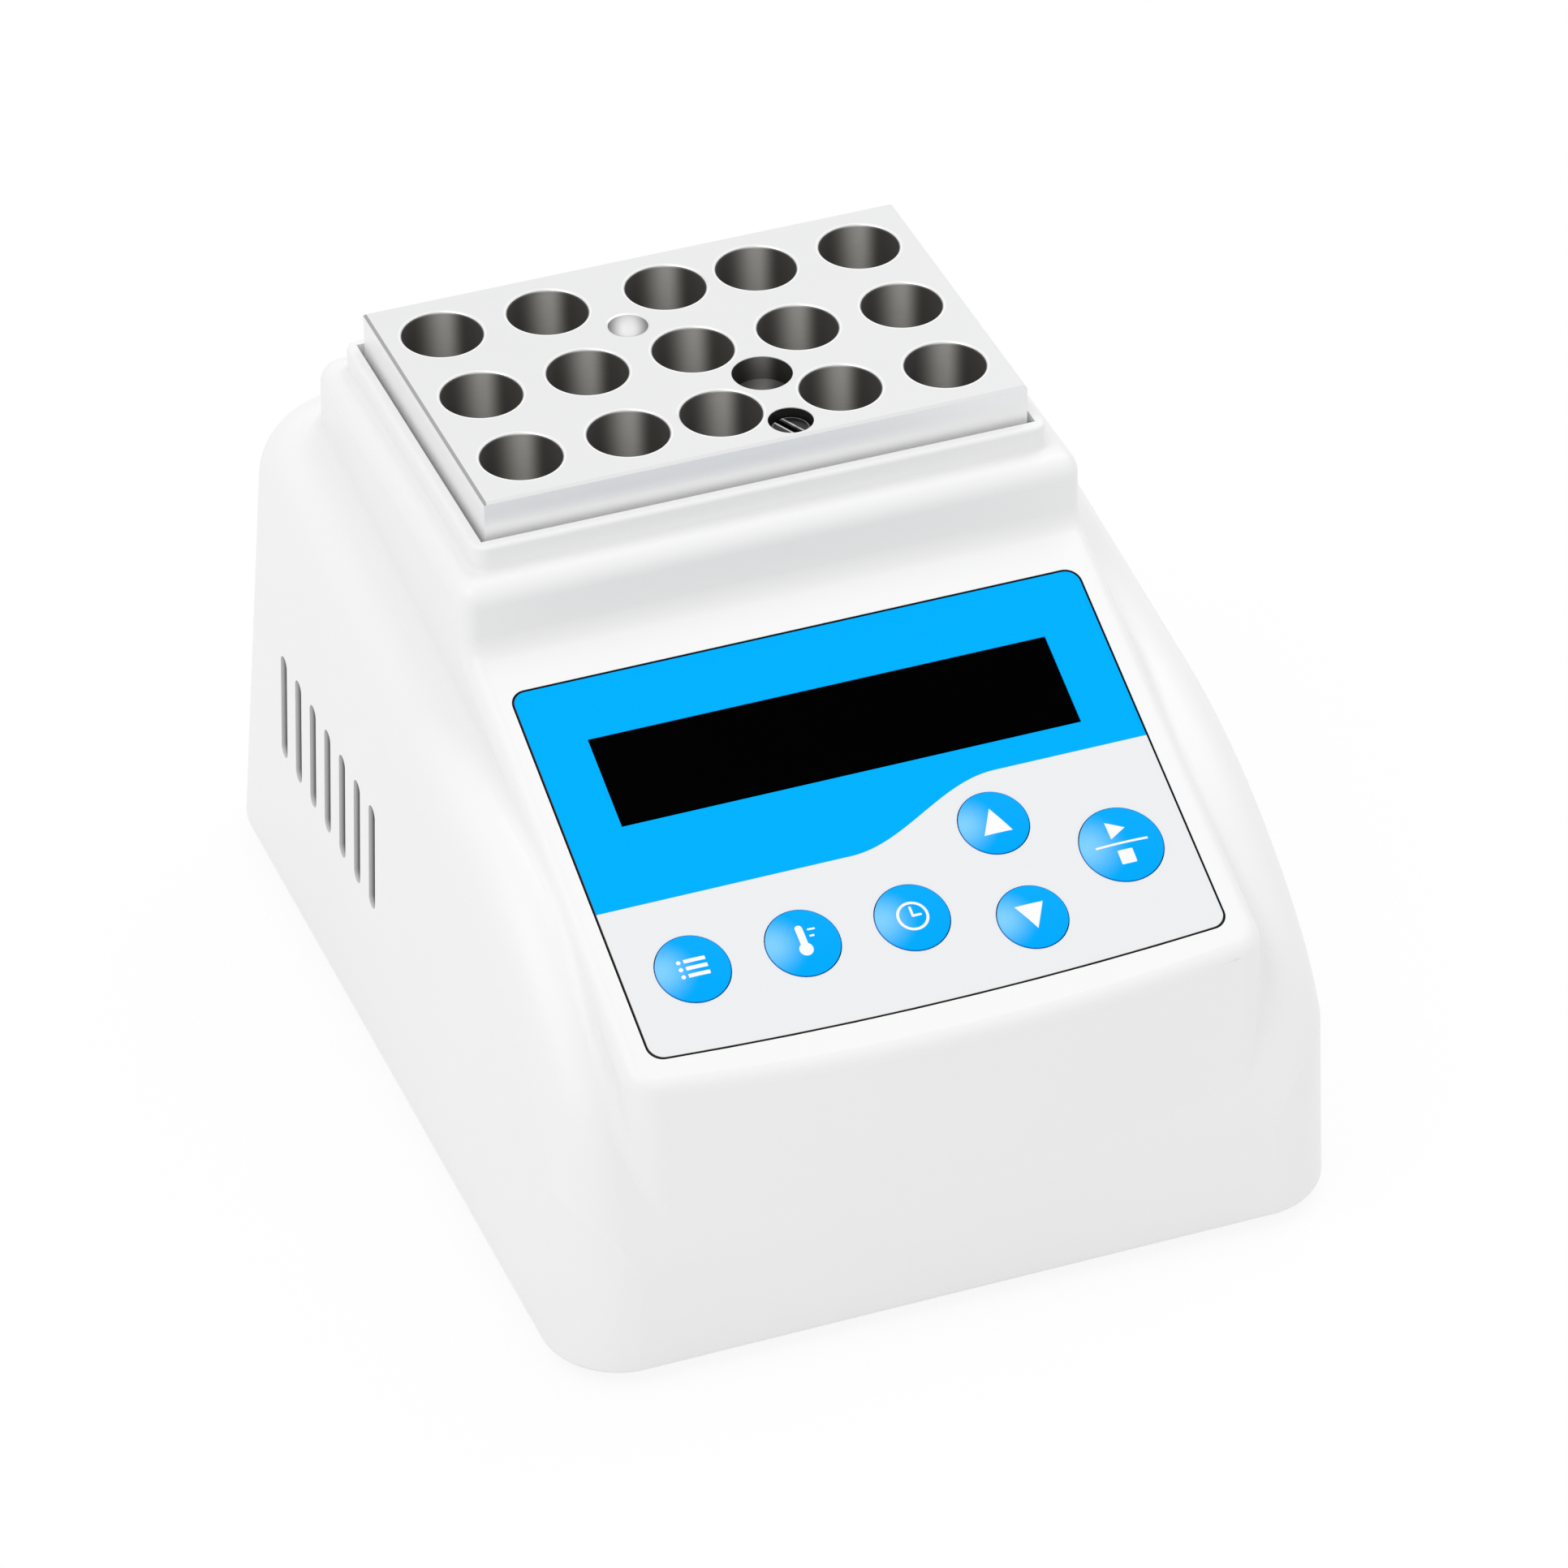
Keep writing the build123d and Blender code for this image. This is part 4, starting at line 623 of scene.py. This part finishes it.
def makePanelPrint(name, look):
    material, tree, shader, place = startMaterial(name)
    surface = placeGrain(tree, place, look)
    plane = placeGroup(tree, consolePlane, {"Place": place}).outputs
    step = addNode(tree, "ShaderNodeMapRange", {"interpolation_type": "SMOOTHSTEP"}, {
        "Value": plane["Across"], "From Min": look["stepFrom"], "From Max": look["stepTo"],
        "To Min": look["low"], "To Max": look["high"]})
    blueMask = inkEdge(tree, doMath(tree, "SUBTRACT", step.outputs[0], plane["Up"]))
    path = tree.nodes.new("ShaderNodeLightPath")
    blue = mixColour(tree, path.outputs["Is Camera Ray"], look["thrown"], look["blue"])
    face = mixColour(tree, blueMask, look["pale"], blue)
    side = doMath(tree, "LESS_THAN", plane["Out"], look["faceOut"])
    face = mixColour(tree, side, face, look["blue"])
    # painted shade line just inside the panel's outline
    outline = placeGroup(tree, sheetOutline, {
        "Across": doMath(tree, "ADD", plane["Across"], look["shadeLineShift"]),
        "Up": doMath(tree, "ADD", plane["Up"], look["shadeLineShift"])})
    line = softStep(tree, outline.outputs["Beyond"], look["shadeLineFrom"], look["shadeLineTo"])
    finishShader(tree, shader, mixColour(tree, line, face, look["edge"]), surface)
    shader.inputs["Specular IOR Level"].default_value = look["shine"]
    return material


dress(["membrane_panel"], makePanelPrint("panelPrint", panel))


# six keys: blue domed caps with a painted highlight at their left, with white signs in millimetres from
# the key's middle
keyLook = {
    # glow is a painted highlight: a lighter blue spot at the cap's left
    "cap": (0.0, 0.40, 0.96, 1), "glow": (0.25, 0.66, 1.0, 1), "ink": (0.95, 0.95, 0.95, 1),
    "highlightAside": -0.85, "highlightUp": 0.1, "highlightReach": 1.05, "highlightShare": 0.85, "shine": 0.02,
    "grain": 3000.0, "depth": 0.03, "gloss": 0.28, "change": 0.05,
}
keys = {
    "program": {
        "middle": (-30.6, -30.0), "radius": 5.0,
        "bars": [(0.5, 1.1, 1.5, 0.28, 0.1), (0.5, 0.0, 1.5, 0.28, 0.1), (0.5, -1.1, 1.5, 0.28, 0.1)],
        "rings": [(-1.7, 1.1, 0.0, 0.3), (-1.7, 0.0, 0.0, 0.3), (-1.7, -1.1, 0.0, 0.3)],
    },
    "temperature": {
        "middle": (-15.3, -30.0), "radius": 5.0,
        "bars": [(0.0, 0.8, 0.5, 1.7, 0.5), (1.6, 1.6, 0.55, 0.14, 0.1), (1.4, 0.6, 0.35, 0.14, 0.1)],
        "rings": [(0.0, -1.2, 0.0, 0.95)],
    },
    "time": {
        "middle": (0.0, -30.0), "radius": 5.0,
        "bars": [(0.0, 0.65, 0.17, 0.8, 0.15), (0.55, 0.0, 0.7, 0.17, 0.15)],
        "rings": [(0.0, 0.0, 2.0, 0.19)],
    },
    "up": {"middle": (15.5, -19.0), "radius": 4.75, "triangles": [(0.0, 0.1, 2.0, 1.9, 1.0)]},
    "down": {"middle": (15.5, -34.0), "radius": 4.75, "triangles": [(0.0, -0.1, 2.0, 1.9, -1.0)]},
    "start_stop": {
        "middle": (30.9, -26.5), "radius": 5.65,
        "bars": [(0.0, 0.0, 3.7, 0.16, 0.1), (0.0, -2.1, 1.05, 1.05, 0.15)],
        "play": [(0.0, 2.2, 1.35, 1.2, 1.0)],
    },
}
# a mark is its middle, across and up, and then its sizes; here are each kind's group, the names of its
# sizes and whether across and up change places, which turns a triangle on its side
signParts = {
    "bars": (printedBar, ("Half width", "Half height", "Rounding"), False),
    "rings": (printedRing, ("Radius", "Half line"), False),
    "triangles": (printedTriangle, ("Half width", "Half height", "Points"), False),
    "play": (printedTriangle, ("Half width", "Half height", "Points"), True),
}


# a sign is the largest of its marks' masks
def printSigns(tree, across, up, sign):
    masks = []
    for kind, (group, labels, swapped) in signParts.items():
        for x, y, *sizes in sign.get(kind, []):
            middle = (sign["middle"][0] + x, sign["middle"][1] + y)
            ways = (up, across) if swapped else (across, up)
            middle = middle[::-1] if swapped else middle
            inputs = {"Across": ways[0], "Up": ways[1], "Middle x": middle[0], "Middle y": middle[1]}
            masks.append(placeGroup(tree, group, inputs | dict(zip(labels, sizes))).outputs[0])
    signMask = masks[0]
    for mask in masks[1:]:
        signMask = doMath(tree, "MAXIMUM", signMask, mask)
    return signMask


def makeKeyPrint(name, look, sign):
    material, tree, shader, place = startMaterial(name)
    surface = placeGrain(tree, place, look)
    plane = placeGroup(tree, consolePlane, {"Place": place}).outputs
    x, y = sign["middle"]
    radius = sign["radius"]
    # painted highlight: a soft lighter spot towards the cap's left
    spot = placeGroup(tree, softSpot, {
        "Across": plane["Across"], "Up": plane["Up"], "Middle x": x + look["highlightAside"] * radius,
        "Middle y": y + look["highlightUp"] * radius, "Reach": look["highlightReach"] * radius})
    glow = doMath(tree, "MULTIPLY", spot.outputs[0], look["highlightShare"])
    cap = mixColour(tree, glow, look["cap"], look["glow"])
    signMask = printSigns(tree, plane["Across"], plane["Up"], sign)
    finishShader(tree, shader, mixColour(tree, signMask, cap, look["ink"]), surface)
    shader.inputs["Specular IOR Level"].default_value = look["shine"]
    return material


for name, sign in keys.items():
    dress([f"{name}_key"], makeKeyPrint(f"{name}Print", keyLook, sign))


# display window
window = {
    "colour": (0.0005, 0.0005, 0.0005, 1), "shade": (0.001, 0.001, 0.001, 1), "shine": 0.0,
    "grain": 1200.0, "depth": 0.0, "gloss": 0.35, "change": 0.03,
}
dress(["display_lens"], makePlastic("blackWindow", window))
print("panel, keys and window dressed")


# the other plastic pieces, in and outside, by what they are made of
plastics = {
    "blackPlastic": {
        "colour": (0.02, 0.02, 0.02, 1), "shade": (0.035, 0.035, 0.035, 1), "shine": 0.4,
        "grain": 2200.0, "depth": 0.12, "gloss": 0.45, "change": 0.1},
    "greyPlastic": {
        "colour": (0.33, 0.34, 0.35, 1), "shade": (0.28, 0.29, 0.30, 1), "shine": 0.4,
        "grain": 2200.0, "depth": 0.1, "gloss": 0.45, "change": 0.1},
    "greenPlastic": {
        "colour": (0.03, 0.22, 0.07, 1), "shade": (0.02, 0.17, 0.05, 1), "shine": 0.4,
        "grain": 2200.0, "depth": 0.1, "gloss": 0.4, "change": 0.1},
    "milkyPlastic": {
        "colour": (0.82, 0.85, 0.83, 1), "shade": (0.78, 0.82, 0.79, 1), "shine": 0.4,
        "grain": 2200.0, "depth": 0.05, "gloss": 0.35, "change": 0.1},
    "capacitorSleeve": {
        "colour": (0.02, 0.025, 0.08, 1), "shade": (0.015, 0.02, 0.06, 1), "shine": 0.5,
        "grain": 1800.0, "depth": 0.05, "gloss": 0.3, "change": 0.1},
    "displayGlass": {
        "colour": (0.02, 0.035, 0.03, 1), "shade": (0.015, 0.028, 0.024, 1), "shine": 0.5,
        "grain": 1800.0, "depth": 0.0, "gloss": 0.08, "change": 0.03},
    "blackRubber": {
        "colour": (0.025, 0.025, 0.025, 1), "shade": (0.04, 0.04, 0.04, 1), "shine": 0.3,
        "grain": 3200.0, "depth": 0.3, "gloss": 0.75, "change": 0.1},
    "redSilicone": {
        "colour": (0.42, 0.05, 0.02, 1), "shade": (0.36, 0.04, 0.02, 1), "shine": 0.35,
        "grain": 1500.0, "depth": 0.3, "gloss": 0.6, "change": 0.1},
    "fibreFoam": {
        "colour": (0.72, 0.69, 0.62, 1), "shade": (0.62, 0.59, 0.52, 1), "shine": 0.1,
        "grain": 900.0, "depth": 1.0, "gloss": 0.9, "change": 0.1},
    "solderMask": {
        "colour": (0.008, 0.09, 0.03, 1), "shade": (0.01, 0.12, 0.04, 1), "shine": 0.5,
        "grain": 700.0, "depth": 0.15, "gloss": 0.35, "change": 0.1},
}
plasticPieces = {
    "blackPlastic": ["key_switches", "controller_chip", "power_transistor", "buzzer", "power_switch_body",
                     "power_rocker", "power_inlet", "inlet_nut"],
    "greyPlastic": ["heater_spacers"] + [name for name in nodes if name.endswith("_plunger")],
    "greenPlastic": ["terminal_blocks"],
    "milkyPlastic": ["display_backlight"],
    "capacitorSleeve": ["capacitors"],
    "displayGlass": ["display_glass"],
    "blackRubber": ["rubber_feet"],
    "redSilicone": ["heater_film"],
    "fibreFoam": ["insulation_pad", "insulation_sleeve"],
    "solderMask": ["display_board", "keypad_board", "control_board"],
}
for name, look in plastics.items():
    dress(plasticPieces[name], makePlastic(name, look))


# the other metal pieces
metals = {
    "platedSteel": {
        "colour": (0.62, 0.62, 0.64, 1), "shade": (0.5, 0.5, 0.52, 1), "metal": 1.0,
        "stretch": (1600.0, 1600.0, 500.0), "depth": 0.08, "gloss": 0.3, "change": 0.15},
    "sheetSteel": {
        "colour": (0.60, 0.61, 0.62, 1), "shade": (0.52, 0.53, 0.54, 1), "metal": 1.0,
        "stretch": (90.0, 2600.0, 2600.0), "depth": 0.08, "gloss": 0.38, "change": 0.15},
    "milledPlate": {
        "colour": (0.76, 0.765, 0.775, 1), "shade": (0.68, 0.685, 0.70, 1), "metal": 1.0,
        "stretch": (120.0, 3200.0, 2000.0), "depth": 0.1, "gloss": 0.34, "change": 0.15},
    "turnedBrass": {
        "colour": (0.70, 0.50, 0.20, 1), "shade": (0.60, 0.42, 0.16, 1), "metal": 1.0,
        "stretch": (900.0, 900.0, 4000.0), "depth": 0.1, "gloss": 0.3, "change": 0.12},
    "blackSink": {
        "colour": (0.025, 0.025, 0.028, 1), "shade": (0.04, 0.04, 0.045, 1), "metal": 0.7,
        "stretch": (1200.0, 1200.0, 120.0), "depth": 0.1, "gloss": 0.42, "change": 0.1},
}
metalPieces = {
    "platedSteel": ["rocker_pin"] + [name for name in nodes if name.endswith("_screws")],
    "sheetSteel": ["base_plate", "carrier_plate", "display_bezel", "temperature_probe", "thermal_fuse"],
    "milledPlate": ["heater_plate"],
    "turnedBrass": ["carrier_pillars", "board_standoffs", "inlet_pin", "switch_terminals"],
    "blackSink": ["heat_sink"],
}
for name, look in metals.items():
    dress(metalPieces[name], makeMetal(name, look))
print("other pieces dressed")


# floor and studio
studio = {
    "floor": (0.96, 0.96, 0.96, 1), "floorSize": 6.0,
    "floorRough": 0.8, "floorShine": 0.1, "floorGlow": 0.88,
    "white": (1.0, 1.0, 1.0, 1), "bright": 1.0, "worldLight": 0.755,
    "lamps": [
        {"place": (-0.9, -0.3, 1.7), "aim": (0.0, 0.0, 0.05), "size": 1.4, "power": 8.6},
        {"place": (0.8, 0.5, 1.6), "aim": (0.0, 0.0, 0.05), "size": 1.2, "power": 6.0},
    ],
}


# the floor reads as plain white to the camera and in reflections, and still takes part of the shadow
def makeFloor(look):
    half = look["floorSize"] / 2
    mesh = bpy.data.meshes.new("floor")
    corners = [(-half, -half, 0), (half, -half, 0), (half, half, 0), (-half, half, 0)]
    mesh.from_pydata(corners, [], [tuple(range(len(corners)))])
    floor = bpy.data.objects.new("floor", mesh)
    bpy.context.collection.objects.link(floor)
    material, tree, shader = startMaterial("floorPaint")[:3]
    shader.inputs["Base Color"].default_value = look["floor"]
    shader.inputs["Roughness"].default_value = look["floorRough"]
    shader.inputs["Specular IOR Level"].default_value = look["floorShine"]
    glow = addNode(tree, "ShaderNodeEmission", None, {"Color": look["white"], "Strength": look["bright"]})
    path = tree.nodes.new("ShaderNodeLightPath").outputs
    seen = doMath(tree, "MAXIMUM", path["Is Glossy Ray"], path["Is Transmission Ray"])
    seen = doMath(tree, "MAXIMUM", path["Is Camera Ray"], seen)
    mix = addNode(tree, "ShaderNodeMixShader", None, {
        0: doMath(tree, "MULTIPLY", seen, look["floorGlow"]), 1: shader.outputs[0], 2: glow.outputs[0]})
    output = next(node for node in tree.nodes if node.type == "OUTPUT_MATERIAL")
    tree.links.new(mix.outputs[0], output.inputs["Surface"])
    mesh.materials.append(material)


def makeWorld(look):
    world = bpy.data.worlds.new("studio")
    world.use_nodes = True
    tree = world.node_tree
    tree.nodes.clear()
    output = tree.nodes.new("ShaderNodeOutputWorld")
    path = tree.nodes.new("ShaderNodeLightPath").outputs
    seen = doMath(tree, "MAXIMUM", path["Is Camera Ray"], path["Is Transmission Ray"])
    strength = mixNumber(tree, seen, look["worldLight"], look["bright"])
    back = addNode(tree, "ShaderNodeBackground", None, {"Color": look["white"], "Strength": strength})
    tree.links.new(back.outputs[0], output.inputs["Surface"])
    bpy.context.scene.world = world


# a square lamp that faces its aim
def makeLamp(name, lamp):
    data = bpy.data.lights.new(name, "AREA")
    data.shape = "SQUARE"
    data.size = lamp["size"]
    data.energy = lamp["power"]
    light = bpy.data.objects.new(name, data)
    light.location = lamp["place"]
    away = [start - end for start, end in zip(lamp["place"], lamp["aim"])]
    lean = math.atan2(math.hypot(away[0], away[1]), away[2])
    light.rotation_euler = (lean, 0.0, math.atan2(away[1], away[0]) + math.pi / 2)
    bpy.context.collection.objects.link(light)


makeFloor(studio)
makeWorld(studio)
for index, lamp in enumerate(studio["lamps"]):
    makeLamp(f"lamp{index}", lamp)
bpy.context.scene.view_settings.view_transform = "Standard"
print("studio lit")
